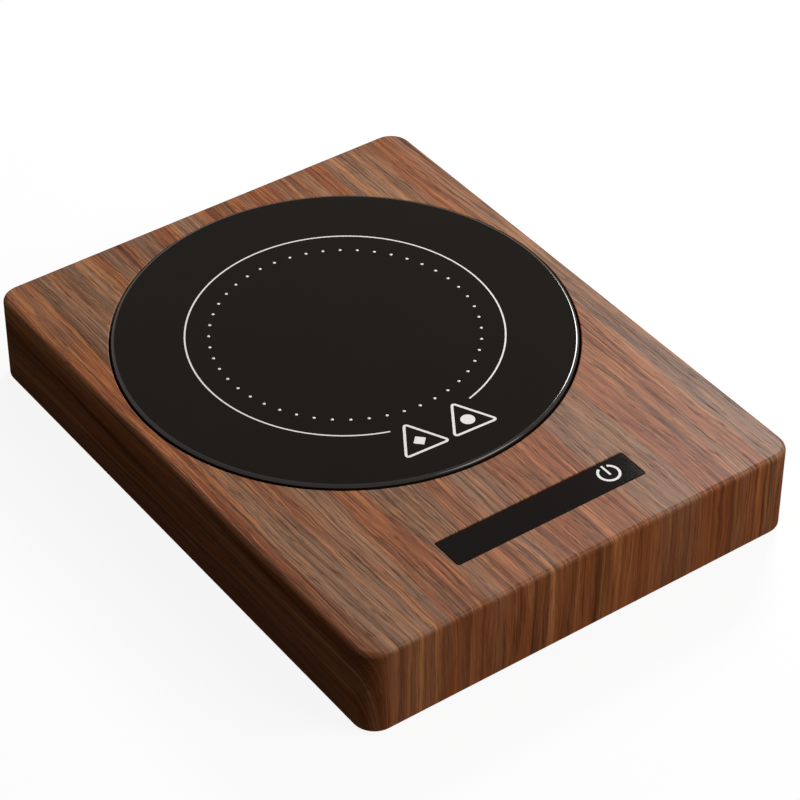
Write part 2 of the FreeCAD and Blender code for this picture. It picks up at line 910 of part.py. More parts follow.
def link_header():
    """Pin strip on the main board, which plugs up into the display board's socket."""
    base_top = main_board_top + link_header_height
    base = block(link_pins * link_pitch, link_width, main_board_top, base_top, 0, link_y())
    top = base_top + link_pin_length
    pins = [block(link_pin, link_pin, main_board_top, top, x, link_y()) for x in link_places()]
    return joined([base, *pins])


def link_socket():
    """Socket strip under the display board."""
    low = main_board_top + link_header_height
    body = block(link_pins * link_pitch, link_width, low, display_board_z, 0, link_y())
    hole = link_pin + 2 * link_pin_gap
    deep = low + link_pin_length + link_pin_gap
    return body.cut([block(hole, hole, low, deep, x, link_y()) for x in link_places()])


def filter_capacitors():
    """Two upright capacitors."""
    high = display_board_z - small_head_height - part_clearance
    y = main_board_y - main_board_depth / 8
    x = main_board_width / 2 - 3 * main_board_hole_inset
    places = (x, x - capacitor_spacing)
    return group(rod(capacitor_radius, main_board_top, high, place, y) for place in places)


def power_inductor():
    """Square inductor with a round core."""
    x = -main_board_width / 2 + main_board_hole_inset + inductor_size
    y = main_board_y - main_board_depth / 8
    core = rod(inductor_core_radius, main_board_top, main_board_top + inductor_height, x, y)
    base_top = main_board_top + inductor_base_height
    base = rounded_block(inductor_size, inductor_size, inductor_corner, main_board_top, base_top, x, y)
    return joined([base, core])


def power_transistor():
    """Flat transistor that switches the heater, soldered by its tab."""
    x = -main_board_width / 5
    y = main_board_y
    high = main_board_top + transistor_height
    body = block(transistor_width, transistor_width, main_board_top, high, x, y)
    tab_top = main_board_top + transistor_tab_thickness
    tab = block(transistor_tab_width, transistor_tab_length, main_board_top, tab_top, x, y)
    return joined([body, tab])


def socket_face_y():
    """Rear face of the lead sockets."""
    return main_board_y + main_board_depth / 2


def board_sockets():
    """Plug-in sockets for the leads along the board's rear edge."""
    y = socket_face_y() - socket_depth / 2
    shapes = []
    for x in (heater_socket_x, sensor_socket_x, switch_socket_x, inlet_socket_x):
        body = block(socket_width, socket_depth, main_board_top, main_board_top + socket_height, x, y)
        shapes.append(body.makeChamfer(socket_edge, upright_edges(body)))
    return group(shapes)


def inlet_body():
    """Black barrel inlet: square case, round nose through the wall and a blind bore."""
    z = inlet_axis_z()
    face = back_y - inlet_set_in
    case_face = back_y - side_wall - cover_gap
    case_length = case_face - face + inlet_length
    case = block(inlet_width, case_length, floor_z, floor_z + inlet_height, 0, case_face - case_length / 2)
    long_edges = [e for e in case.Edges if abs(e.tangentAt(e.FirstParameter).y) > 0.999]
    case = case.makeChamfer(socket_edge, long_edges)
    nose = across(inlet_nose_radius, face - case_face, 0, case_face, z)
    bore = across(inlet_bore_radius, inlet_bore_depth, 0, face - inlet_bore_depth, z)
    return joined([case, nose]).cut(bore)


def inlet_contacts():
    """Centre pin in the inlet's bore."""
    start = back_y - inlet_set_in - inlet_bore_depth
    length = inlet_bore_depth - inlet_pin_set_in
    pin = across(inlet_pin_radius, length, 0, start, inlet_axis_z())
    tip = [e for e in pin.Edges if e.BoundBox.YMin > start + length / 2]
    return pin.makeChamfer(inlet_pin_radius / 3, tip)


def socket_end(x):
    """Last three points of a lead: square into its socket's rear face."""
    y = socket_face_y()
    z = main_board_top + socket_height / 2
    return [(x, y + 2 * lead_run, z - lead_run), (x, y + lead_run, z), (x, y, z)]


def floor_level(radius):
    """Height of a lead's centre line where it lies on the cover."""
    return floor_z + radius + lead_gap


def inlet_leads():
    """Two leads from the inlet round the heater's right side to the main board."""
    low = floor_level(thin_lead_radius)
    start = back_y - inlet_set_in - inlet_length
    routes = []
    for side in (-1, 1):
        shift = side * (thin_lead_radius + lead_gap / 2)
        out = lead_run + shift
        turn_y = start - 3 * lead_bend + shift
        angles = [math.radians(a) for a in inlet_run_angles]
        reach = inlet_run_radius + shift
        routes.append([
            (out, start, inlet_axis_z()),
            (out, start - lead_bend, inlet_axis_z()),
            (out + lead_bend, turn_y, low + lead_bend / 2),
            *[(reach * math.cos(a), glass_y + reach * math.sin(a), low) for a in angles],
            *socket_end(inlet_socket_x + shift),
        ])
    return group(lead(route, thin_lead_radius) for route in routes)


def switch_leads():
    """Two leads from the switch's tags to the main board."""
    low = floor_level(thin_lead_radius) + terminal_clearance
    y = switch_y - terminal_thickness / 2
    routes = []
    for tag, x in ((0, switch_socket_x - lead_run), (terminal_spacing, switch_socket_x)):
        routes.append([
            (tag, y, low),
            (tag, y - lead_run, low),
            (tag + lead_run, y - 2 * lead_bend, low),
            (x, y - 4 * lead_bend, low + lead_gap),
            *socket_end(x + lead_gap),
        ])
    return group(lead(route, thin_lead_radius) for route in routes)


def heater_leads():
    """Two leads from the fuse and the heater's other ear to the main board."""
    low = floor_level(heater_lead_radius)
    z = sensor_axis_z()
    fuse_end = glass_y - sensor_length / 2
    ear_y = ear_end_y()
    right_x = heater_socket_x + heater_lead_radius + lead_gap
    left_x = heater_socket_x - heater_lead_radius - lead_gap
    from_fuse = [
        (sensor_spread, fuse_end, z),
        (sensor_spread, fuse_end - lead_run, z),
        (sensor_spread - lead_gap, fuse_end - lead_bend, z - 2 * lead_run),
        (0, fuse_end - 2 * lead_bend, low + lead_bend),
        (-2 * lead_bend, fuse_end - 2 * lead_bend - lead_run, low + lead_gap),
        (right_x + lead_bend, switch_y - lead_run, low),
        (right_x, switch_y - 3 * lead_bend, low),
        *socket_end(right_x),
    ]
    from_ear = [
        (-sensor_spread, ear_y, heater_z),
        (-sensor_spread, ear_y, heater_z - 2 * lead_run),
        (-sensor_spread - lead_run, ear_y - lead_bend, low + lead_bend),
        (-sensor_spread - 2 * lead_bend, ear_y - 3 * lead_bend, low),
        (right_x, glass_y - 3 * lead_bend, low),
        (left_x, switch_y - lead_bend, low),
        (left_x, switch_y - 3 * lead_bend, low),
        *socket_end(left_x),
    ]
    return group([lead(from_fuse, heater_lead_radius), lead(from_ear, heater_lead_radius)])


def sensor_leads():
    """Two thin leads from the thermistor to the main board."""
    low = floor_level(sensor_lead_radius)
    z = sensor_axis_z()
    end = glass_y - sensor_length / 2
    routes = []
    for side in (-1, 1):
        shift = side * 2 * sensor_lead_radius
        start = shift - sensor_spread
        x = sensor_socket_x + shift
        routes.append([
            (start, end, z),
            (start, end - lead_run, z),
            (start, end - lead_bend, z - lead_bend),
            (start - lead_run, end - 2 * lead_bend, low + 2 * lead_run),
            (x, switch_y + lead_run, low + lead_bend),
            (x, switch_y - 3 * lead_bend, low + lead_run),
            *socket_end(x),
        ])
    return group(lead(route, sensor_lead_radius) for route in routes)


NODES = [
    top_housing,
    glass_plate,
    control_window,
    bottom_cover,
    cover_screws,
    rubber_feet,
    glass_gasket,
    spreader_plate,
    heating_element,
    insulation_pad,
    heat_reflector,
    plate_carrier,
    plate_springs,
    thermistor,
    thermal_fuse,
    sensor_clip,
    clip_screw,
    micro_switch,
    switch_plunger,
    switch_terminals,
    switch_screws,
    display_frame,
    indicator_leds,
    touch_electrode,
    touch_chip,
    display_board,
    display_screws,
    main_board,
    board_screws,
    link_header,
    link_socket,
    filter_capacitors,
    power_inductor,
    power_transistor,
    control_chip,
    board_sockets,
    inlet_body,
    inlet_contacts,
    inlet_leads,
    switch_leads,
    heater_leads,
    sensor_leads,
]

os.makedirs("parts", exist_ok=True)
for make in NODES:
    shape = make()
    shape.exportStep(f"parts/{make.__name__}.step")
    print(make.__name__, len(shape.Solids), shape.isValid(), round(shape.Volume, 2))
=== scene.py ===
import json
import math

import bmesh
import bpy
from mathutils import Matrix, Vector


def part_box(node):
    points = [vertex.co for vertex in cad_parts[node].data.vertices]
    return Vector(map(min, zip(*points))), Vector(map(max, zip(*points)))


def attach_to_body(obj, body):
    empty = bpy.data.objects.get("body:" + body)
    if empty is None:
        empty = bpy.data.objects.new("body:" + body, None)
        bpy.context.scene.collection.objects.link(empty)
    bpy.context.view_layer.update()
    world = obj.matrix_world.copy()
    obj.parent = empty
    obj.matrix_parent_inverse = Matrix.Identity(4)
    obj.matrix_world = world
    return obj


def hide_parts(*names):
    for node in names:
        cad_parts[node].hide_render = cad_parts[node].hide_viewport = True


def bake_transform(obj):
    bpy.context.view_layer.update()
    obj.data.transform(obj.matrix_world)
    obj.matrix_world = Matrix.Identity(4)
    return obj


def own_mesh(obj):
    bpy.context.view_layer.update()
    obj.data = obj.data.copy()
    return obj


bl_info = {
    "name": "Mug warmer",
    "version": (1, 0, 0),
    "blender": (4, 5, 0),
    "location": "3D View > Sidebar > Warmer",
    "description": "Dresses a packed mug warmer in its walnut look, black glass and inner finishes",
    "category": "Object",
}

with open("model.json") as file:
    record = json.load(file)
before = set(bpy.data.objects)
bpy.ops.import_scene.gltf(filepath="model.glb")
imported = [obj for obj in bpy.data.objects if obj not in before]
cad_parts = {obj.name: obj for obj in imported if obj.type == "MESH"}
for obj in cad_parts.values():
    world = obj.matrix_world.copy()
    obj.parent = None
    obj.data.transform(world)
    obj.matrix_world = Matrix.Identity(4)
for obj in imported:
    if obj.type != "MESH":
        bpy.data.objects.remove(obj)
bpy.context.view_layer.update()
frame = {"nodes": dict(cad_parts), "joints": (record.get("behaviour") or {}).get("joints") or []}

MM = 0.001
# Facets of full turns, corners, edges and small rounds
DISC_STEPS = 192
CORNER_STEPS = 10
EDGE_STEPS = 6
SMALL_STEPS = 4
FINE_STEPS = 2
LIP_STEPS = 5
HOLE_STEPS = 48
# Distances in metres below which two points or heights are the same
SAME_POINT = 1e-7
SAME_HEIGHT = 1e-6
CAD_WELD = 1e-6
SHARP_ANGLE = math.radians(38)
FLAT_WEIGHT = 80
SHELL_LOW, SHELL_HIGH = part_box("top_housing")
GLASS_LOW, GLASS_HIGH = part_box("glass_plate")
STRIP_LOW, STRIP_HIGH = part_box("control_window")
COVER_LOW, COVER_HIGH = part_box("bottom_cover")
SPRINGS_LOW, SPRINGS_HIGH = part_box("plate_springs")
FEET_LOW, FEET_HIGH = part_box("rubber_feet")
INLET_LOW, INLET_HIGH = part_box("inlet_body")
DISC = (GLASS_LOW + GLASS_HIGH) / 2
GLASS_RADIUS = (GLASS_HIGH.x - GLASS_LOW.x) / 2


def srgb(red, green, blue):
    """Scene colour from the 0-255 values that a picture shows."""
    shares = [c / 255 for c in (red, green, blue)]
    return tuple(c / 12.92 if c <= 0.04045 else ((c + 0.055) / 1.055) ** 2.4 for c in shares)


def size(label, what, millimetres):
    """A length that the user can change."""
    return bpy.props.FloatProperty(
        name=label, description=what, default=millimetres * MM, unit="LENGTH", precision=5
    )


def tint(label, what, red, green, blue):
    """A colour that the user can change."""
    colour = srgb(red, green, blue)
    return bpy.props.FloatVectorProperty(
        name=label, description=what, default=colour, size=3, min=0, max=1, subtype="COLOR"
    )


def amount(label, what, value):
    """A plain number that the user can change."""
    return bpy.props.FloatProperty(name=label, description=what, default=value)


class WARMER_PG_housing(bpy.types.PropertyGroup):
    """Sizes and colours of the wood-look housing."""

    corner_radius: size("Corner radius", "Round of the upright corners", 6.0)
    top_round: size("Top edge", "Round of the top edges", 1.4)
    foot_round: size("Bottom edge", "Round of the bottom edges", 0.3)
    wall: size("Side wall", "Thickness of the side walls", 3.0)
    roof: size("Top wall", "Thickness of the top wall", 3.0)
    opening_gap: size("Opening gap", "Gap round the glass", 0.5)
    collar: size("Collar", "Depth and wall of the collar under the opening", 3.0)
    lip: size("Lip", "Round of the opening's edge", 0.3)
    strip_gap: size("Strip gap", "Gap round the touch strip", 0.2)
    strip_ledge: size("Strip ledge", "Ledge under the touch strip", 2.0)
    pocket_corner: size("Pocket corner", "Round of the strip pocket's corners", 0.7)
    cover_gap: size("Cover gap", "Gap round the bottom cover", 0.25)
    inlet_radius: size("Inlet hole", "Radius of the hole in the back wall", 4.25)
    dark: tint("Dark streaks", "Late wood", 50, 27, 16)
    middle: tint("Brown", "Main colour of the wood look", 136, 76, 43)
    light: tint("Light streaks", "Orange streaks", 188, 124, 75)
    # Pale bands are grain, and made stronger on the top faces they are also painted sheen
    pale: tint("Pale bands", "Broad greyish bands", 134, 101, 78)
    pore: tint("Pores", "Short open pores", 38, 21, 13)


class WARMER_PG_plate(bpy.types.PropertyGroup):
    """Sizes and colours of the glass plate and its print."""

    rim_round: size("Rim", "Polished round of the glass", 0.9)
    foot_edge: size("Lower edge", "Round of the lower edge", 0.4)
    print_height: size("Print height", "Thickness of the printed lines", 0.04)
    ring_radius: size("Ring", "Radius of the printed ring", 41.5)
    ring_width: size("Ring line", "Width of the printed ring", 0.43)
    dot_circle: size("Dot circle", "Radius of the circle of dots", 35.3)
    dot_radius: size("Dot", "Radius of a dot", 0.43)
    mark_radius: size("Mark", "Corner distance of the rounded triangles", 8.1)
    mark_line: size("Mark line", "Width of the triangles' line", 0.7)
    mark_round: size("Mark corner", "Cut of the triangles' corners", 1.8)
    mark_filling: size("Mark filling", "Radius of the square and the dot in the triangles", 1.9)
    glass: tint("Glass", "Black glass", 27, 22, 17)
    ink: tint("Print", "White print", 224, 222, 218)


class WARMER_PG_strip(bpy.types.PropertyGroup):
    """Sizes and colours of the touch strip."""

    edge: size("Edge", "Round of the strip's edges", 0.15)
    key_inset: size("Power key", "Distance of the power key from the strip's right end", 7.1)
    key_radius: size("Key ring", "Outer radius of the power symbol", 3.1)
    key_stroke: size("Key stroke", "Line width of the power symbol", 0.7)
    key_shift: size("Key shift", "Distance of the power symbol behind the strip's middle", 0.5)
    key_bar: size("Key bar", "Reach of the symbol's bar before its middle", 0.7)
    corner: size("Corner", "Round of the strip's corners", 0.5)
    strip: tint("Strip", "Black touch strip", 24, 19, 17)


class WARMER_PG_feet(bpy.types.PropertyGroup):
    """Sizes and colour of the rubber feet."""

    radius: size("Radius", "Radius of a foot", 6.5)
    round: size("Round", "Round of a foot's lower edge", 0.5)
    rubber: tint("Rubber", "Rubber of the feet", 30, 30, 31)


class WARMER_PG_springs(bpy.types.PropertyGroup):
    """Sizes and colour of the springs under the plate."""

    wire: size("Wire", "Radius of the wire", 0.3)
    coil_radius: size("Coil", "Radius of a coil to the wire's middle", 4.91)
    turns: amount("Turns", "Number of turns, with the two closed ones", 5.0)
    steel: tint("Steel", "Spring steel", 176, 178, 180)


class WARMER_PG_stage(bpy.types.PropertyGroup):
    """Light and camera."""

    key_power: amount("Key light", "Power of the main soft light", 12.0)
    sheen_power: amount("Back light", "Power of the soft light behind", 4.2)
    sky: amount("Sky", "Strength of the even light", 0.14)
    floor: tint("Floor", "Colour that the floor throws back onto the object", 120, 120, 120)
    seen_floor: tint("Seen floor", "Colour that shows the object's shadow", 243, 243, 243)
    whiteness: amount("Whiteness", "Share of plain white in the floor as seen", 0.9)
    focal_length: amount("Lens", "Camera lens in millimetres", 139.34)


class Value:
    """A number, colour or shader in a node tree. Arithmetic on it adds Math nodes."""

    def __init__(self, nodes, node, output):
        self.nodes = nodes
        self.node = node
        self.output = output

    @property
    def socket(self):
        """The output that the value comes from."""
        return self.node.outputs[self.output]

    def maths(self, operation, *values):
        """Adds one Math node."""
        return self.nodes.node("ShaderNodeMath", {"operation": operation}, dict(enumerate(values)))

    def larger(self, other):
        """The larger of two values."""
        return self.maths("MAXIMUM", self, other)

    def __add__(self, other):
        return self.maths("ADD", self, other)

    def __sub__(self, other):
        return self.maths("SUBTRACT", self, other)

    def __rsub__(self, other):
        return self.maths("SUBTRACT", other, self)

    def __mul__(self, other):
        return self.maths("MULTIPLY", self, other)

    __radd__ = __add__
    __rmul__ = __mul__


class Nodes:
    """A node tree under work."""

    def __init__(self, tree):
        self.tree = tree
        tree.nodes.clear()

    def feed(self, socket, value):
        """Links a Value to a socket, or sets it."""
        if isinstance(value, Value):
            self.tree.links.new(value.socket, socket)
        else:
            socket.default_value = value

    def node(self, kind, settings=None, inputs=None, output=0):
        """Adds one node: its settings first, then the values or links of its sockets."""
        node = self.tree.nodes.new(kind)
        for key, value in (settings or {}).items():
            setattr(node, key, value)
        for key, value in (inputs or {}).items():
            self.feed(node.inputs[key], value)
        return Value(self, node, output)

    def seen(self):
        """1 for rays from the camera, a gloss or a clear piece."""
        camera, gloss, clear = [
            self.node("ShaderNodeLightPath", output=ray)
            for ray in ("Is Camera Ray", "Is Glossy Ray", "Is Transmission Ray")
        ]
        return camera.larger(gloss).larger(clear)

    def blend(self, share, first, second):
        """Mix of two shaders."""
        return self.node("ShaderNodeMixShader", inputs={0: share, 1: first, 2: second})


class Finish(Nodes):
    """A material under work: one Principled surface and what feeds it."""

    def __init__(self, name, roughness=0.5, metallic=0.0, **constants):
        self.material = bpy.data.materials.new(name)
        self.material.use_nodes = True
        super().__init__(self.material.node_tree)
        surface = self.node("ShaderNodeBsdfPrincipled")
        self.node("ShaderNodeOutputMaterial", inputs={"Surface": surface})
        self.shader = surface.node
        self.set(Roughness=roughness, Metallic=metallic)
        self.set(**{label.replace("_", " "): value for label, value in constants.items()})

    def set(self, **values):
        """Feeds the shader's sockets by name."""
        for label, value in values.items():
            self.feed(self.shader.inputs[label], value)

    def place(self):
        """The piece's own x, y and z."""
        point = self.node("ShaderNodeTexCoord", output="Object")
        return [self.node("ShaderNodeSeparateXYZ", inputs={0: point}, output=n) for n in range(3)]

    def noise(self, x, y, z=0.0, detail=2.0, rough=0.5):
        """Soft noise between 0 and 1 at a place whose unit is one blotch."""
        point = self.node("ShaderNodeCombineXYZ", inputs={0: x, 1: y, 2: z})
        inputs = {"Vector": point, "Scale": 1.0, "Detail": detail, "Roughness": rough}
        return self.node("ShaderNodeTexNoise", {"noise_dimensions": "3D"}, inputs)

    def ease(self, value, low, high):
        """0 below low, 1 above high, smooth between."""
        inputs = {"Value": value, "From Min": low, "From Max": high}
        return self.node("ShaderNodeMapRange", {"interpolation_type": "SMOOTHSTEP"}, inputs)

    def streaks(self, x, y, across, along, seed, detail, rough, low, high):
        """Long blotches, so many per metre across and along, with soft edges between low and high."""
        return self.ease(self.noise(x * across, y * along, seed, detail, rough), low, high)

    def mix(self, first, second, share):
        """Blend of two colours."""
        inputs = {0: share, 6: self.colour(first), 7: self.colour(second)}
        return self.node("ShaderNodeMix", {"data_type": "RGBA"}, inputs, output=2)

    def colour(self, value):
        """Colour with its alpha, or a Value as it is."""
        return value if isinstance(value, Value) else (*tuple(value)[:3], 1.0)

    def bump(self, height, distance):
        """Relief that feeds the surface's normal."""
        inputs = {"Height": height, "Distance": distance, "Strength": 1.0}
        self.set(Normal=self.node("ShaderNodeBump", inputs=inputs))


# Grain layers: blotches per metre across and along, seed, detail, roughness, soft edge's low and high end
GRAIN = {
    "zone": (38, 2.0, 41.2, 1, 0.5, 0.38, 0.62),
    "band": (120, 6.0, 7.3, 3, 0.5, 0.42, 0.60),
    "broad": (200, 7.0, 17.3, 4, 0.65, 0.47, 0.64),
    "streak": (620, 14.0, 11.9, 4, 0.65, 0.48, 0.66),
    "thin": (2200, 42, 5.2, 3, 0.65, 0.45, 0.62),
    "warm": (420, 9.0, 21.4, 4, 0.62, 0.50, 0.68),
    "fleck": (2600, 46, 31.5, 3, 0.6, 0.52, 0.67),
}
PORES = (2900, 170, 13.6, 1, 0.5, 0.60, 0.72)
PORE_SLANT = 0.05
DRIFT = 0.012
RIPPLE = 0.0024
WOOD_RELIEF = 0.00006


def walnut_look(look):
    """Wood-look finish whose grain follows the housing's own map, along the length and down the ends."""
    finish = Finish("walnut_look", Specular_IOR_Level=0.0, Coat_Roughness=0.42)
    mapped = finish.node("ShaderNodeUVMap", {"uv_map": "grain"})
    across, along = [finish.node("ShaderNodeSeparateXYZ", inputs={0: mapped}, output=n) for n in range(2)]
    top = finish.ease(finish.place()[2], SHELL_HIGH.z - look.top_round, SHELL_HIGH.z)
    drift = finish.noise(across * 16, along * 5, 1.7, 2) - 0.5
    ripple = finish.noise(across * 90, along * 40, 4.1, 3, 0.6) - 0.5
    bent = across + drift * DRIFT + ripple * RIPPLE
    grain = {name: finish.streaks(bent, along, *values) for name, values in GRAIN.items()}
    pore = finish.streaks(across + along * PORE_SLANT, along, *PORES)
    shades = (
        # Pale greyish bands: real grain everywhere, plus painted sheen in their extra share on the top faces
        (look.pale, grain["band"] * (0.3 + top * 0.6)),
        (look.light, grain["warm"] * 0.55),
        (look.dark, grain["broad"] * (0.15 + grain["zone"] * 0.35)),
        (look.dark, grain["streak"] * (0.3 + grain["zone"] * 0.25)),
        (look.dark, grain["thin"] * (0.2 + top * 0.36)),
        (look.light, grain["fleck"] * (0.15 + top * 0.4)),
        (look.pore, pore * (0.2 + top * 0.3)),
    )
    colour = look.middle
    for shade, share in shades:
        colour = finish.mix(colour, shade, share)
    finish.set(
        **{
            "Base Color": colour,
            "Roughness": 0.42 + grain["streak"] * 0.08 + pore * 0.16,
            "Coat Weight": top * (0.28 - grain["streak"] * 0.06 - pore * 0.12),
        }
    )
    finish.bump(0.6 - grain["streak"] * 0.25 - pore * 0.6 - grain["thin"] * 0.2, WOOD_RELIEF)
    return finish.material


def black_glass(name, colour, level, roughness=0.05):
    """Black glass with faint wear in its gloss."""
    finish = Finish(name, Specular_IOR_Level=level)
    x, y, z = finish.place()
    wear = finish.noise(x * 60, y * 60, z * 60, 3)
    finish.set(
        **{
            "Base Color": finish.mix(colour, [c * 0.8 for c in colour], wear),
            "Roughness": roughness + wear * 0.05,
        }
    )
    return finish.material


def moulded(name, colour, roughness=0.5, grain=0.00003, pitch=2600, level=0.4):
    """Moulded plastic or rubber with a fine spark-worn texture."""
    finish = Finish(name, Specular_IOR_Level=level)
    x, y, z = finish.place()
    fine = finish.noise(x * pitch, y * pitch, z * pitch, 2)
    cloud = finish.noise(x * 45, y * 45, z * 45, 2)
    shade = finish.mix(colour, [min(1, c * 1.5 + 0.004) for c in colour], fine * 0.35 + cloud * 0.3)
    finish.set(**{"Base Color": shade, "Roughness": roughness + cloud * 0.12 - 0.06})
    finish.bump(fine, grain)
    return finish.material


def metal(name, colour, roughness=0.3, along=(900, 60, 900), grain=0.00001):
    """Rolled or drawn metal with fine lines along one axis and dull spots."""
    finish = Finish(name, metallic=1.0)
    x, y, z = finish.place()
    lines = finish.noise(x * along[0], y * along[1], z * along[2], 3)
    spots = finish.noise(x * 80, y * 80, z * 80, 3)
    shade = finish.mix(colour, [c * 0.72 for c in colour], lines * 0.5 + spots * 0.4)
    finish.set(**{"Base Color": shade, "Roughness": roughness + spots * 0.2 - 0.08 + lines * 0.08})
    finish.bump(lines, grain)
    return finish.material


def circuit_board(name):
    """Green board with copper tracks under the mask and a woven base."""
    finish = Finish(name, roughness=0.35)
    x, y, z = finish.place()
    cell = finish.node("ShaderNodeCombineXYZ", inputs={0: x * 260, 1: y * 260, 2: 0.5})
    tracks = finish.node(
        "ShaderNodeTexVoronoi", {"distance": "MANHATTAN", "feature": "F1"}, {"Vector": cell, "Scale": 1.0}
    )
    copper = finish.ease(tracks, 0.42, 0.46)
    weave = finish.noise(x * 2400, y * 2400, z * 800, 1)
    colour = finish.mix(srgb(16, 72, 40), srgb(34, 112, 58), copper * 0.8 + weave * 0.15)
    finish.set(**{"Base Color": colour, "Roughness": 0.3 + weave * 0.15})
    finish.bump(copper, 0.00003)
    return finish.material


def heater_foil(name):
    """Amber film over a wound metal track."""
    finish = Finish(name, Coat_Weight=0.5, Coat_Roughness=0.2)
    x, y, z = finish.place()
    shifted = finish.node("ShaderNodeCombineXYZ", inputs={0: x, 1: y - DISC.y, 2: 0.0})
    reach = finish.node("ShaderNodeVectorMath", {"operation": "LENGTH"}, {0: shifted}, output="Value")
    wave = finish.node("ShaderNodeMath", {"operation": "SINE"}, {0: reach * (2 * math.pi / 0.004)})
    track = finish.ease(wave, -0.1, 0.1)
    blotch = finish.noise(x * 120, y * 120, z * 120, 2)
    colour = finish.mix(srgb(176, 96, 32), srgb(132, 124, 112), track)
    finish.set(**{"Base Color": colour, "Metallic": track * 0.8, "Roughness": 0.3 + blotch * 0.2})
    finish.bump(track, 0.00005)
    return finish.material


def fibre_felt(name):
    """Pale pressed fibre."""
    finish = Finish(name, Specular_IOR_Level=0.2, Sheen_Weight=0.3)
    x, y, z = finish.place()
    strands = finish.noise(x * 900, y * 300, z * 700, 4, 0.7)
    clumps = finish.noise(x * 160, y * 200, z * 160, 3)
    colour = finish.mix(srgb(214, 208, 196), srgb(172, 162, 146), strands * 0.6 + clumps * 0.3)
    finish.set(**{"Base Color": colour, "Roughness": 0.85 + clumps * 0.1})
    finish.bump(strands + clumps * 0.5, 0.0002)
    return finish.material


def printed_ink(look):
    """White fired ink, slightly uneven."""
    finish = Finish("white_print", Specular_IOR_Level=0.3)
    x, y, z = finish.place()
    speck = finish.noise(x * 1500, y * 1500, z * 1500, 2)
    colour = finish.mix(look.ink, [c * 0.85 for c in look.ink], speck)
    finish.set(**{"Base Color": colour, "Roughness": 0.45 + speck * 0.2})
    return finish.material


def make_bmesh(build):
    """Empty bmesh, filled by one function."""
    bm = bmesh.new()
    build(bm)
    return bm


def new_object(name, bm, *materials):
    """Object at the origin from a bmesh, with sharp edges kept sharp."""
    bmesh.ops.recalc_face_normals(bm, faces=bm.faces[:])
    mark_sharp(bm)
    mesh = bpy.data.meshes.new(name)
    bm.to_mesh(mesh)
    bm.free()
    obj = bpy.data.objects.new(name, mesh)
    bpy.context.scene.collection.objects.link(obj)
    for material in materials:
        mesh.materials.append(material)
    return obj


def mark_sharp(bm):
    """Smooth faces, with edges above one angle marked sharp."""
    for face in bm.faces:
        face.smooth = True
    for edge in bm.edges:
        edge.smooth = edge.is_manifold and edge.calc_face_angle(0.0) < SHARP_ANGLE


def level_normals(obj):
    """Keeps wide flat faces flat beside small rounds."""
    modifier = obj.modifiers.new("Flat faces", "WEIGHTED_NORMAL")
    modifier.keep_sharp = True
    modifier.weight = FLAT_WEIGHT


def attach(obj, body, slot, *nodes):
    """The piece moves with a body and hides the CAD nodes that it stands for; the slot is not used."""
    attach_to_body(obj, body)
    if nodes:
        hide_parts(*nodes)


def dress(node, material):
    """Gives a CAD node its finish."""
    data = frame["nodes"][node].data
    data.materials.clear()
    data.materials.append(material)


def arc(centre, radius, start, end, steps):
    """Points of an arc in the profile plane, angles in degrees."""
    angles = [math.radians(start + (end - start) * n / steps) for n in range(steps + 1)]
    return [(centre[0] + radius * math.cos(a), centre[1] + radius * math.sin(a)) for a in angles]


def spin_profile(bm, profile, x, y, steps=DISC_STEPS):
    """Full turn of a (radius, height) profile about an upright line."""
    verts = [bm.verts.new((x + r, y, z)) for r, z in profile]
    edges = [bm.edges.new(pair) for pair in zip(verts, verts[1:])]
    bmesh.ops.spin(
        bm,
        geom=verts + edges,
        cent=(x, y, 0),
        axis=(0, 0, 1),
        angle=2 * math.pi,
        steps=steps,
        use_merge=True,
    )
    bmesh.ops.remove_doubles(bm, verts=bm.verts[:], dist=SAME_POINT)


def boxed(bm, low, high):
    """Box between two corners."""
    low, high = Vector(low), Vector(high)
    matrix = Matrix.Translation((low + high) / 2) @ Matrix.Diagonal((*(high - low), 1))
    bmesh.ops.create_cube(bm, size=1, matrix=matrix)


def bevel_edges(bm, edges, radius, steps):
    """Rounds some edges."""
    bmesh.ops.bevel(
        bm,
        geom=edges,
        offset=radius,
        offset_type="OFFSET",
        segments=steps,
        profile=0.5,
        affect="EDGES",
        material=-1,
        clamp_overlap=True,
    )


def upright(edge):
    """True for an edge along Z."""
    a, b = (v.co for v in edge.verts)
    return abs(a.z - b.z) > SAME_HEIGHT and (a.xy - b.xy).length < SAME_HEIGHT


def at_height(bm, z):
    """Edges that lie at one height."""
    return [e for e in bm.edges if all(abs(v.co.z - z) < SAME_HEIGHT for v in e.verts)]


def rounded_slab(bm, low, high, corner, top=0.0, bottom=0.0, steps=CORNER_STEPS):
    """Box with round upright edges, and round top and bottom edges where asked."""
    boxed(bm, low, high)
    bevel_edges(bm, [e for e in bm.edges if upright(e)], corner, steps)
    if top:
        bevel_edges(bm, at_height(bm, high[2]), top, EDGE_STEPS)
    if bottom:
        bevel_edges(bm, at_height(bm, low[2]), bottom, FINE_STEPS)


def carved(obj, steps):
    """Applies a row of (operation, tool) Booleans to a piece and removes the tools."""
    for operation, tool in steps:
        modifier = obj.modifiers.new(tool.name, "BOOLEAN")
        modifier.operation = operation
        modifier.solver = "EXACT"
        modifier.object = tool
    graph = bpy.context.evaluated_depsgraph_get()
    mesh = bpy.data.meshes.new_from_object(obj.evaluated_get(graph))
    obj.modifiers.clear()
    obj.data = mesh
    for _, tool in steps:
        bpy.data.objects.remove(tool)
    bm = bmesh.new()
    bm.from_mesh(mesh)
    bmesh.ops.remove_doubles(bm, verts=bm.verts[:], dist=SAME_POINT)
    mark_sharp(bm)
    bm.to_mesh(mesh)
    bm.free()


def cutter(name, build):
    """Closed helper shape for a Boolean."""
    return new_object(name, make_bmesh(build))


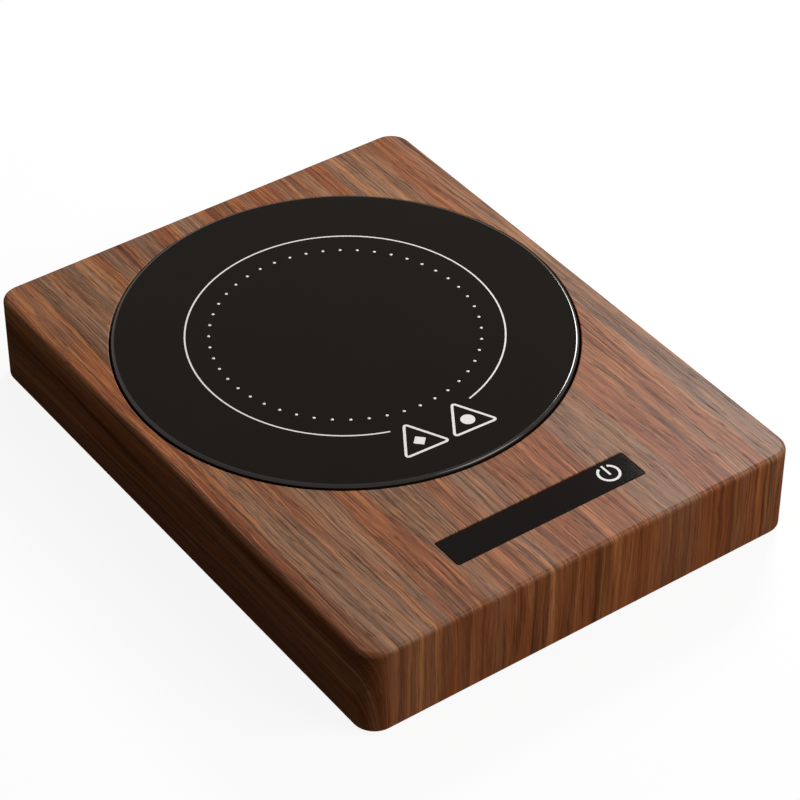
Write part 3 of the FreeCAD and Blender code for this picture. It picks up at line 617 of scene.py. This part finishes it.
def opening_cutter(look):
    """Round opening with a soft upper lip."""
    radius = GLASS_RADIUS + look.opening_gap
    top = SHELL_HIGH.z
    lip = arc((radius + look.lip, top - look.lip), look.lip, 180, 90, LIP_STEPS)
    above = top + look.lip
    profile = [(0, SHELL_LOW.z), (radius, SHELL_LOW.z), *lip, (radius + look.lip, above), (0, above)]
    return cutter("opening", lambda bm: spin_profile(bm, profile, DISC.x, DISC.y))


def pocket_cutter(look):
    """Pocket of the touch strip, with a chamfered upper edge."""
    gap = Vector((look.strip_gap, look.strip_gap, 0))
    low = STRIP_LOW - gap
    high = STRIP_HIGH + gap
    top = SHELL_HIGH.z

    def build(bm):
        rounded_slab(bm, low, (high.x, high.y, top - look.lip / 2), look.pocket_corner, steps=SMALL_STEPS)
        face = max(bm.faces, key=lambda f: f.calc_center_median().z)
        flare = bmesh.ops.extrude_face_region(bm, geom=[face])
        verts = [g for g in flare["geom"] if isinstance(g, bmesh.types.BMVert)]
        bmesh.ops.delete(bm, geom=[face], context="FACES_ONLY")
        middle = (low + high) / 2
        spread = 1 + look.lip / (high.x - low.x), 1 + look.lip / (high.y - low.y)
        for vert in verts:
            vert.co.x = middle.x + (vert.co.x - middle.x) * spread[0]
            vert.co.y = middle.y + (vert.co.y - middle.y) * spread[1]
        bmesh.ops.translate(bm, verts=verts, vec=(0, 0, look.lip / 2))
        cap = [f for f in bm.faces if all(v in verts for v in f.verts)]
        lift = bmesh.ops.extrude_face_region(bm, geom=cap)
        raised = [g for g in lift["geom"] if isinstance(g, bmesh.types.BMVert)]
        bmesh.ops.delete(bm, geom=cap, context="FACES_ONLY")
        bmesh.ops.translate(bm, verts=raised, vec=(0, 0, look.lip))

    return cutter("pocket", build)


def window_cutter(look):
    """Window under the strip, inside its ledge."""
    ledge = Vector((look.strip_ledge, look.strip_ledge, 0))
    low = STRIP_LOW + ledge
    high = STRIP_HIGH - ledge
    low.z, high.z = SHELL_LOW.z, STRIP_HIGH.z
    return cutter("window", lambda bm: boxed(bm, low, high))


def cavity_cutter(look):
    """Inside of the shell, with the recess for the cover."""
    inset = Vector((look.wall, look.wall, 0))
    low = SHELL_LOW + inset - Vector((0, 0, MM))
    high = SHELL_HIGH - inset - Vector((0, 0, look.roof))
    corner = look.corner_radius - look.wall
    return cutter("cavity", lambda bm: rounded_slab(bm, low, high, corner, steps=EDGE_STEPS))


def recess_cutter(look):
    """Recess of the bottom cover."""
    gap = look.cover_gap
    low = Vector((COVER_LOW.x - gap, COVER_LOW.y - gap, SHELL_LOW.z - MM))
    high = Vector((COVER_HIGH.x + gap, COVER_HIGH.y + gap, SPRINGS_LOW.z))
    corner = look.corner_radius - look.wall + MM
    return cutter("recess", lambda bm: rounded_slab(bm, low, high, corner, steps=EDGE_STEPS))


def collar_shape(look):
    """Collar round the opening, under the top wall."""
    radius = GLASS_RADIUS + look.opening_gap + look.collar
    top = SHELL_HIGH.z - look.roof / 2
    low = SHELL_HIGH.z - look.roof - look.collar
    profile = [(0, low), (radius, low), (radius, top), (0, top)]
    return cutter("collar", lambda bm: spin_profile(bm, profile, DISC.x, DISC.y))


def inlet_cutter(look):
    """Round hole for the power inlet, longer than the back wall is thick."""
    height = (INLET_LOW.z + INLET_HIGH.z) / 2
    turn = Matrix.Translation((0, SHELL_HIGH.y, height)) @ Matrix.Rotation(math.pi / 2, 4, "X")

    def build(bm):
        bmesh.ops.create_cone(
            bm,
            cap_ends=True,
            segments=HOLE_STEPS,
            radius1=look.inlet_radius,
            radius2=look.inlet_radius,
            depth=look.wall * 2.5,
            matrix=turn,
        )

    return cutter("inlet", build)


def map_grain(obj, corner):
    """Own map of the housing: x and y on top, and on down the sides as a wrapped film would lie."""
    layer = obj.data.uv_layers.new(name="grain")
    flat = Vector((SHELL_HIGH.x - corner, SHELL_HIGH.y - corner))
    for loop in obj.data.loops:
        point = obj.data.vertices[loop.vertex_index].co
        out = Vector((max(abs(point.x) - flat.x, 0), max(abs(point.y) - flat.y, 0)))
        out = out.normalized()
        drop = SHELL_HIGH.z - point.z
        u = point.x + math.copysign(out.x * drop, point.x)
        v = point.y + math.copysign(out.y * drop, point.y)
        layer.data[loop.index].uv = (u, v)


class WARMER_OT_housing(bpy.types.Operator):
    """Make the wood-look housing with its opening, strip pocket and inlet hole"""

    bl_idname = "warmer.housing"
    bl_label = "Housing"
    bl_options = {"REGISTER", "UNDO"}

    def execute(self, context):
        look = context.scene.warmer_housing
        rounds = (look.corner_radius, look.top_round, look.foot_round)
        bm = make_bmesh(lambda bm: rounded_slab(bm, SHELL_LOW, SHELL_HIGH, *rounds))
        shell = new_object("housing", bm, walnut_look(look))
        cuts = [
            ("DIFFERENCE", cavity_cutter(look)),
            ("DIFFERENCE", recess_cutter(look)),
            ("UNION", collar_shape(look)),
            ("DIFFERENCE", opening_cutter(look)),
            ("DIFFERENCE", pocket_cutter(look)),
            ("DIFFERENCE", window_cutter(look)),
            ("DIFFERENCE", inlet_cutter(look)),
        ]
        carved(shell, cuts)
        map_grain(shell, look.corner_radius)
        level_normals(shell)
        attach(shell, "base", "walnut_look", "top_housing")
        return {"FINISHED"}


class WARMER_OT_glass(bpy.types.Operator):
    """Make the black glass disc with its polished rim"""

    bl_idname = "warmer.glass"
    bl_label = "Glass"
    bl_options = {"REGISTER", "UNDO"}

    # A face whose normal's upward share lies between these is on the polished rim
    wall_tilt = 0.05
    flat_tilt = 0.999

    def execute(self, context):
        look = context.scene.warmer_plate
        top = GLASS_HIGH.z - look.print_height
        round_centre = (GLASS_RADIUS - look.rim_round, top - look.rim_round)
        foot_centre = (GLASS_RADIUS - look.foot_edge, GLASS_LOW.z + look.foot_edge)
        profile = [
            (0, GLASS_LOW.z),
            *arc(foot_centre, look.foot_edge, -90, 0, SMALL_STEPS),
            *arc(round_centre, look.rim_round, 0, 90, CORNER_STEPS),
            (0, top),
        ]
        bm = make_bmesh(lambda bm: spin_profile(bm, profile, DISC.x, DISC.y))
        glass = new_object(
            "glass",
            bm,
            black_glass("glass_black", tuple(look.glass), 0.03),
            black_glass("glass_rim", tuple(look.glass), 0.3, 0.08),
        )
        for polygon in glass.data.polygons:
            polygon.material_index = int(self.wall_tilt < abs(polygon.normal.z) < self.flat_tilt)
        level_normals(glass)
        attach(glass, "plate", "black_glass", "glass_plate")
        return {"FINISHED"}


def sweep_bar(bm, centre, radius, width, heights, turn, steps):
    """Flat bar between two heights, bent along an arc between two angles in degrees."""
    x, y = centre
    low, high = heights
    start, end = turn
    first = Matrix.Rotation(math.radians(start), 4, "Z")
    near, far = radius - width / 2, radius + width / 2
    corners = [(near, low), (far, low), (far, high), (near, high)]
    verts = [bm.verts.new(Vector((x, y, 0)) + first @ Vector((r, 0, z))) for r, z in corners]
    face = bm.faces.new(verts)
    bmesh.ops.spin(
        bm,
        geom=[face],
        cent=(x, y, 0),
        axis=(0, 0, 1),
        angle=math.radians(end - start),
        steps=steps,
        use_merge=False,
    )


def lift_faces(bm, faces, height):
    """Gives flat faces a thickness upwards."""
    lift = bmesh.ops.extrude_face_region(bm, geom=faces)
    verts = [g for g in lift["geom"] if isinstance(g, bmesh.types.BMVert)]
    bmesh.ops.translate(bm, verts=verts, vec=(0, 0, height))


def rounded_triangle(bm, look, place, turn, height):
    """Outline of a triangle with round corners, pointing to the back."""
    one = bmesh.new()
    bmesh.ops.create_circle(one, cap_ends=True, segments=3, radius=look.mark_radius)
    bmesh.ops.bevel(
        one,
        geom=one.verts[:],
        offset=look.mark_round,
        offset_type="OFFSET",
        segments=EDGE_STEPS,
        profile=0.5,
        affect="VERTICES",
        material=-1,
    )
    inner = max(one.faces, key=lambda f: f.calc_area())
    bmesh.ops.inset_region(
        one, faces=[inner], thickness=look.mark_line, use_even_offset=True, use_boundary=True
    )
    bmesh.ops.delete(one, geom=[inner], context="FACES_ONLY")
    lift_faces(one, one.faces[:], height)
    matrix = Matrix.Translation(place) @ Matrix.Rotation(math.radians(turn), 4, "Z")
    bmesh.ops.transform(one, matrix=matrix, verts=one.verts[:])
    add_shape(bm, one)


def add_shape(bm, one):
    """Adds a finished bmesh to another and frees it."""
    mesh = bpy.data.meshes.new("shape")
    one.to_mesh(mesh)
    one.free()
    bm.from_mesh(mesh)
    bpy.data.meshes.remove(mesh)


class WARMER_OT_print(bpy.types.Operator):
    """Make the white print on the glass: ring, dots and two plain marks"""

    bl_idname = "warmer.print"
    bl_label = "Print"
    bl_options = {"REGISTER", "UNDO"}

    # Angles in degrees from the right, places in millimetres from the housing's middle
    ring_turn = (284.0, 250.7 + 360)
    dot_start = 267.3
    dot_count = 48
    mark_places = ((-9.77, -29.3), (4.8, -29.7))
    mark_corners = (4, 20)
    mark_turn = -3.0
    filling_shift = 0.1
    ring_steps = 168
    dot_steps = 14
    dot_taper = 0.8
    sunk = 1.5

    def execute(self, context):
        look = context.scene.warmer_plate
        low = GLASS_HIGH.z - look.print_height * self.sunk
        high = GLASS_HIGH.z
        bm = bmesh.new()
        heights = (low, high)
        sweep_bar(bm, DISC.xy, look.ring_radius, look.ring_width, heights, self.ring_turn, self.ring_steps)
        for n in range(self.dot_count):
            angle = math.radians(self.dot_start + n * 360 / self.dot_count)
            x = DISC.x + look.dot_circle * math.cos(angle)
            y = DISC.y + look.dot_circle * math.sin(angle)
            self.stud(bm, (x, y), heights, self.dot_steps, look.dot_radius, look.dot_radius * self.dot_taper)
        radius = look.mark_filling
        for (x, y), corners in zip(self.mark_places, self.mark_corners):
            rounded_triangle(bm, look, (x * MM, y * MM, low), self.mark_turn, high - low)
            self.stud(bm, (x * MM, (y + self.filling_shift) * MM), heights, corners, radius, radius)
        marks = new_object("glass_print", bm, printed_ink(look))
        attach(marks, "plate", "black_glass")
        return {"FINISHED"}

    def stud(self, bm, centre, heights, corners, foot, head):
        """Flat stud of ink between two heights, with its foot and head radius."""
        low, high = heights
        bmesh.ops.create_cone(
            bm,
            cap_ends=True,
            segments=corners,
            radius1=foot,
            radius2=head,
            depth=high - low,
            matrix=Matrix.Translation((*centre, (low + high) / 2)),
        )


class WARMER_OT_strip(bpy.types.Operator):
    """Make the black touch strip and its power symbol"""

    bl_idname = "warmer.strip"
    bl_label = "Touch strip"
    bl_options = {"REGISTER", "UNDO"}

    # Half of the ring's opening in degrees, depths in millimetres, half of the bar as a share of the line
    key_opening = 27.0
    key_steps = 40
    key_sunk = 0.02
    key_proud = 0.05
    bar_share = 0.42
    edge_steps = 3

    def execute(self, context):
        look = context.scene.warmer_strip
        bm = make_bmesh(lambda bm: boxed(bm, STRIP_LOW, STRIP_HIGH))
        bevel_edges(bm, [e for e in bm.edges if upright(e)], look.corner, SMALL_STEPS)
        bevel_edges(bm, at_height(bm, STRIP_HIGH.z), look.edge, self.edge_steps)
        strip = new_object("touch_strip", bm, black_glass("strip_black", tuple(look.strip), 0.03, 0.06))
        level_normals(strip)
        attach(strip, "base", "strip_black", "control_window")
        self.symbol(look, printed_ink(context.scene.warmer_plate))
        return {"FINISHED"}

    def symbol(self, look, ink):
        """Open ring with an upright bar."""
        x = STRIP_HIGH.x - look.key_inset
        y = (STRIP_LOW.y + STRIP_HIGH.y) / 2 + look.key_shift
        low = STRIP_HIGH.z - self.key_sunk * MM
        high = STRIP_HIGH.z + self.key_proud * MM
        radius = look.key_radius - look.key_stroke / 2
        turn = (90 + self.key_opening, 450 - self.key_opening)
        bm = bmesh.new()
        sweep_bar(bm, (x, y), radius, look.key_stroke, (low, high), turn, self.key_steps)
        half = look.key_stroke * self.bar_share
        boxed(bm, (x - half, y - look.key_bar, low), (x + half, y + look.key_radius, high))
        key = new_object("power_symbol", bm, ink)
        attach(key, "base", "strip_black")


class WARMER_OT_feet(bpy.types.Operator):
    """Make the four rubber feet"""

    bl_idname = "warmer.feet"
    bl_label = "Feet"
    bl_options = {"REGISTER", "UNDO"}

    turn_steps = 64

    def execute(self, context):
        look = context.scene.warmer_feet
        radius = look.radius
        bend = look.round
        profile = [
            (0, FEET_LOW.z),
            *arc((radius - bend, FEET_LOW.z + bend), bend, -90, 0, LIP_STEPS),
            (radius, FEET_HIGH.z),
            (0, FEET_HIGH.z),
        ]
        bm = bmesh.new()
        for x in (FEET_LOW.x + radius, FEET_HIGH.x - radius):
            for y in (FEET_LOW.y + radius, FEET_HIGH.y - radius):
                add_shape(bm, make_bmesh(lambda one: spin_profile(one, profile, x, y, self.turn_steps)))
        rubber = moulded("foot_rubber", tuple(look.rubber), 0.75, 0.00005, 1500, 0.3)
        feet = new_object("feet", bm, rubber)
        level_normals(feet)
        attach(feet, "base", "foot_rubber", "rubber_feet")
        return {"FINISHED"}


class WARMER_OT_springs(bpy.types.Operator):
    """Make the three springs"""

    bl_idname = "warmer.springs"
    bl_label = "Springs"
    bl_options = {"REGISTER", "UNDO"}

    # Points in a turn, and the rise of a closed turn in radii of the wire
    steps = 32
    closed_pitch = 2.4

    def execute(self, context):
        look = context.scene.warmer_springs
        low, high = SPRINGS_LOW.z, SPRINGS_HIGH.z
        reach = look.coil_radius + look.wire
        middle = SPRINGS_LOW.y + reach
        side = SPRINGS_HIGH.x - reach
        back = SPRINGS_HIGH.y - reach
        curve = bpy.data.curves.new("springs", "CURVE")
        curve.dimensions = "3D"
        curve.bevel_depth = look.wire
        curve.bevel_resolution = 2
        curve.use_fill_caps = True
        for x, y in ((0, middle), (side, back), (-side, back)):
            self.wind(curve, look, x, y, low, high)
        springs = new_object("springs", self.tube(curve), metal("spring_steel", tuple(look.steel), 0.28))
        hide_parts("plate_springs")
        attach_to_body(springs, "base")
        travel = next(j for j in frame["joints"] if j["name"] == "plate_press")["range_m"][0]
        keep = 1 + travel / (high - low)
        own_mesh(springs)
        return {"FINISHED"}

    def tube(self, curve):
        """Bmesh of a curve with its thickness."""
        holder = bpy.data.objects.new("springs", curve)
        bpy.context.scene.collection.objects.link(holder)
        graph = bpy.context.evaluated_depsgraph_get()
        mesh = bpy.data.meshes.new_from_object(holder.evaluated_get(graph))
        bpy.data.objects.remove(holder)
        bm = bmesh.new()
        bm.from_mesh(mesh)
        return bm

    def wind(self, curve, look, x, y, low, high):
        """Adds one spring's line, with a closed turn at each end."""
        spline = curve.splines.new("POLY")
        spline.points.add(int(look.turns * self.steps))
        room = high - low - 2 * look.wire
        closed = self.closed_pitch * look.wire
        for n, point in enumerate(spline.points):
            turn = n / self.steps
            if turn < 1:
                rise = closed * turn
            elif turn > look.turns - 1:
                rise = room - closed * (look.turns - turn)
            else:
                rise = closed + (room - 2 * closed) * (turn - 1) / (look.turns - 2)
            angle = 2 * math.pi * turn
            place = (x + look.coil_radius * math.cos(angle), y + look.coil_radius * math.sin(angle))
            point.co = (*place, low + look.wire + rise, 1)


def merged_copy(node, name, material):
    """Copy of a CAD node's mesh, merged and smooth."""
    bm = bmesh.new()
    bm.from_mesh(frame["nodes"][node].data)
    bmesh.ops.remove_doubles(bm, verts=bm.verts[:], dist=CAD_WELD)
    return new_object(name, bm, material)


class WARMER_OT_leads(bpy.types.Operator):
    """Make the leads of the heater, sensor, inlet and switch"""

    bl_idname = "warmer.leads"
    bl_label = "Leads"
    bl_options = {"REGISTER", "UNDO"}

    # Share of a lead's height at which a bend would begin
    bend_start = 0.15

    def execute(self, context):
        white = moulded("lead_white", srgb(206, 202, 192), 0.6, 0.00004, 1500)
        red = moulded("lead_red", srgb(132, 26, 20), 0.45, 0.00002, 1500)
        black = moulded("lead_black", srgb(24, 24, 25), 0.45, 0.00002, 1500)
        moving = (("heater_leads", white, "lead_white"), ("sensor_leads", black, "lead_black"))
        for node, material, slot in moving:
            lead = merged_copy(node, "moving_" + node, material)
            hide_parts(node)
            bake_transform(lead)
        fixed = (("inlet_leads", red, "lead_red"), ("switch_leads", black, "lead_black"))
        for node, material, slot in fixed:
            lead = merged_copy(node, "fixed_" + node, material)
            attach(lead, "base", slot, node)
        return {"FINISHED"}


class WARMER_OT_cover(bpy.types.Operator):
    """Finish the bottom cover, its screws and the power inlet"""

    bl_idname = "warmer.cover"
    bl_label = "Cover"
    bl_options = {"REGISTER", "UNDO"}

    def execute(self, context):
        black = moulded("cover_black", srgb(26, 26, 27), 0.55, 0.00005, 2200)
        steel = metal("screw_steel", srgb(168, 170, 172), 0.3, (700, 700, 700))
        brass = metal("contact_brass", srgb(196, 160, 92), 0.25, (900, 90, 900))
        socket = moulded("inlet_plastic", srgb(18, 18, 19), 0.35, 0.00002)
        dress("bottom_cover", black)
        for node in ("cover_screws", "clip_screw", "switch_screws", "display_screws", "board_screws"):
            dress(node, steel)
        for node in ("inlet_contacts", "switch_terminals", "touch_electrode"):
            dress(node, brass)
        dress("inlet_body", socket)
        return {"FINISHED"}


class WARMER_OT_inside(bpy.types.Operator):
    """Finish what moves with the glass: gasket, heater, pad, carrier and sensors"""

    bl_idname = "warmer.inside"
    bl_label = "Heater and carrier"
    bl_options = {"REGISTER", "UNDO"}

    def execute(self, context):
        dress("glass_gasket", moulded("silicone", srgb(120, 120, 118), 0.6, 0.00002, 900, 0.3))
        dress("spreader_plate", metal("spreader_aluminium", srgb(200, 202, 204), 0.32))
        dress("heating_element", heater_foil("heater_foil"))
        dress("insulation_pad", fibre_felt("fibre_pad"))
        foil = metal("reflector_aluminium", srgb(208, 209, 210), 0.2, (300, 300, 300), 0.00003)
        dress("heat_reflector", foil)
        dress("plate_carrier", moulded("carrier_plastic", srgb(38, 38, 40), 0.5, 0.00004, 1800))
        dress("thermistor", moulded("sensor_sleeve", srgb(196, 190, 172), 0.5, 0.00003, 1500))
        dress("thermal_fuse", metal("fuse_case", srgb(190, 176, 140), 0.35, (500, 120, 500)))
        dress("sensor_clip", metal("clip_steel", srgb(170, 172, 174), 0.25))
        return {"FINISHED"}


class WARMER_OT_electronics(bpy.types.Operator):
    """Finish the switch, the boards and what is on them"""

    bl_idname = "warmer.electronics"
    bl_label = "Switch and boards"
    bl_options = {"REGISTER", "UNDO"}

    def execute(self, context):
        dress("micro_switch", moulded("switch_plastic", srgb(34, 36, 40), 0.45, 0.00003))
        dress("switch_plunger", moulded("plunger_plastic", srgb(176, 60, 40), 0.4, 0.00002))
        dress("display_frame", moulded("frame_plastic", srgb(30, 30, 31), 0.6, 0.00004))
        dress("indicator_leds", moulded("led_lens", srgb(224, 220, 200), 0.25, 0.00001))
        board = circuit_board("board_green")
        dress("main_board", board)
        dress("display_board", board)
        chip = moulded("chip_black", srgb(28, 28, 30), 0.5, 0.00003, 3000)
        for node in ("touch_chip", "control_chip", "power_transistor"):
            dress(node, chip)
        header = moulded("socket_plastic", srgb(30, 30, 30), 0.5, 0.00002)
        dress("link_header", header)
        dress("link_socket", header)
        dress("board_sockets", moulded("socket_cream", srgb(214, 208, 190), 0.45, 0.00002))
        dress("filter_capacitors", metal("capacitor_can", srgb(60, 62, 96), 0.35, (200, 200, 20)))
        dress("power_inductor", moulded("inductor_core", srgb(62, 60, 58), 0.6, 0.00005, 1600))
        return {"FINISHED"}


def soft_light(name, place, aim, across, power):
    """Square soft lamp that points at a place."""
    data = bpy.data.lights.new(name, "AREA")
    data.shape = "SQUARE"
    data.size = across
    data.energy = power
    lamp = bpy.data.objects.new(name, data)
    lamp.location = place
    lamp.visible_camera = False
    lamp.rotation_mode = "QUATERNION"
    lamp.rotation_quaternion = (Vector(aim) - Vector(place)).to_track_quat("-Z", "Y")
    bpy.context.scene.collection.objects.link(lamp)


class WARMER_OT_stage(bpy.types.Operator):
    """Make the floor, the soft light and the camera"""

    bl_idname = "warmer.stage"
    bl_label = "Stage"
    bl_options = {"REGISTER", "UNDO"}

    # Places and sizes in metres, the roll in degrees, the sensor in millimetres
    camera_place = (-0.35607, -0.50004, 0.52454)
    camera_aim = (0.005197, -0.000101, 0.013)
    camera_roll = 0.171
    sensor = 36
    light_aim = (0, 0, 0.02)
    key_place = (0.60, -0.85, 0.85)
    key_across = 0.7
    back_place = (0.48, 0.28, 0.412)
    back_across = 0.18
    floor_reach = 20

    def execute(self, context):
        scene = context.scene
        look = scene.warmer_stage
        scene.view_settings.view_transform = "Standard"
        self.floor(look)
        self.sky(scene, look)
        soft_light("key", self.key_place, self.light_aim, self.key_across, look.key_power)
        soft_light("back", self.back_place, self.light_aim, self.back_across, look.sheen_power)
        self.camera(scene, look)
        return {"FINISHED"}

    def floor(self, look):
        """Wide flat floor under the feet."""
        bm = bmesh.new()
        bmesh.ops.create_grid(bm, x_segments=1, y_segments=1, size=self.floor_reach)
        floor = new_object("floor", bm, self.backdrop(look))

    def backdrop(self, look):
        """White as seen, yet it takes the object's shadow."""
        material = bpy.data.materials.new("pale_floor")
        material.use_nodes = True
        nodes = Nodes(material.node_tree)
        matt = nodes.node("ShaderNodeBsdfDiffuse", inputs={"Color": (*look.floor, 1)})
        pale = nodes.node("ShaderNodeBsdfDiffuse", inputs={"Color": (*look.seen_floor, 1)})
        white = nodes.node("ShaderNodeEmission", inputs={"Color": (1, 1, 1, 1), "Strength": 1.0})
        shown = nodes.blend(look.whiteness, pale, white)
        surface = nodes.blend(nodes.seen(), matt, shown)
        nodes.node("ShaderNodeOutputMaterial", inputs={"Surface": surface})
        return material

    def sky(self, scene, look):
        """Even dim light, white as seen."""
        scene.world = bpy.data.worlds.new("studio")
        scene.world.use_nodes = True
        nodes = Nodes(scene.world.node_tree)
        dim, white = [
            nodes.node("ShaderNodeBackground", inputs={"Color": (1, 1, 1, 1), "Strength": strength})
            for strength in (look.sky, 1.0)
        ]
        surface = nodes.blend(nodes.seen(), dim, white)
        nodes.node("ShaderNodeOutputWorld", inputs={"Surface": surface})

    def camera(self, scene, look):
        """Camera at the photograph's angle."""
        data = bpy.data.cameras.new("camera")
        data.lens = look.focal_length
        data.sensor_width = self.sensor
        camera = bpy.data.objects.new("camera", data)
        camera.location = self.camera_place
        camera.rotation_mode = "QUATERNION"
        aim = Vector(self.camera_aim) - Vector(self.camera_place)
        roll = Matrix.Rotation(math.radians(self.camera_roll), 3, "Z").to_quaternion()
        camera.rotation_quaternion = aim.to_track_quat("-Z", "Y") @ roll
        scene.collection.objects.link(camera)
        scene.camera = camera


OPERATORS = (
    WARMER_OT_housing,
    WARMER_OT_glass,
    WARMER_OT_print,
    WARMER_OT_strip,
    WARMER_OT_feet,
    WARMER_OT_springs,
    WARMER_OT_leads,
    WARMER_OT_cover,
    WARMER_OT_inside,
    WARMER_OT_electronics,
    WARMER_OT_stage,
)

GROUPS = {
    "warmer_housing": WARMER_PG_housing,
    "warmer_plate": WARMER_PG_plate,
    "warmer_strip": WARMER_PG_strip,
    "warmer_feet": WARMER_PG_feet,
    "warmer_springs": WARMER_PG_springs,
    "warmer_stage": WARMER_PG_stage,
}


class WARMER_PT_panel(bpy.types.Panel):
    """Sizes, colours and one button for each piece"""

    bl_label = "Mug warmer"
    bl_idname = "WARMER_PT_panel"
    bl_space_type = "VIEW_3D"
    bl_region_type = "UI"
    bl_category = "Warmer"

    def draw(self, context):
        for name, group in GROUPS.items():
            box = self.layout.box()
            for label in group.__annotations__:
                box.prop(getattr(context.scene, name), label)
        for operator in OPERATORS:
            self.layout.operator(operator.bl_idname)


def register():
    """Adds the properties, operators and panel."""
    for group in GROUPS.values():
        bpy.utils.register_class(group)
    for name, group in GROUPS.items():
        setattr(bpy.types.Scene, name, bpy.props.PointerProperty(type=group))
    for operator in OPERATORS:
        bpy.utils.register_class(operator)
    bpy.utils.register_class(WARMER_PT_panel)


def unregister():
    """Takes them away again."""
    bpy.utils.unregister_class(WARMER_PT_panel)
    for operator in reversed(OPERATORS):
        bpy.utils.unregister_class(operator)
    for name, group in reversed(GROUPS.items()):
        delattr(bpy.types.Scene, name)
        bpy.utils.unregister_class(group)


def main():
    """Makes every piece and the stage."""
    register()
    bpy.ops.warmer.housing()
    bpy.ops.warmer.glass()
    bpy.ops.warmer.print()
    bpy.ops.warmer.strip()
    bpy.ops.warmer.feet()
    bpy.ops.warmer.springs()
    bpy.ops.warmer.leads()
    bpy.ops.warmer.cover()
    bpy.ops.warmer.inside()
    bpy.ops.warmer.electronics()
    bpy.ops.warmer.stage()


if __name__ == "__main__":
    main()
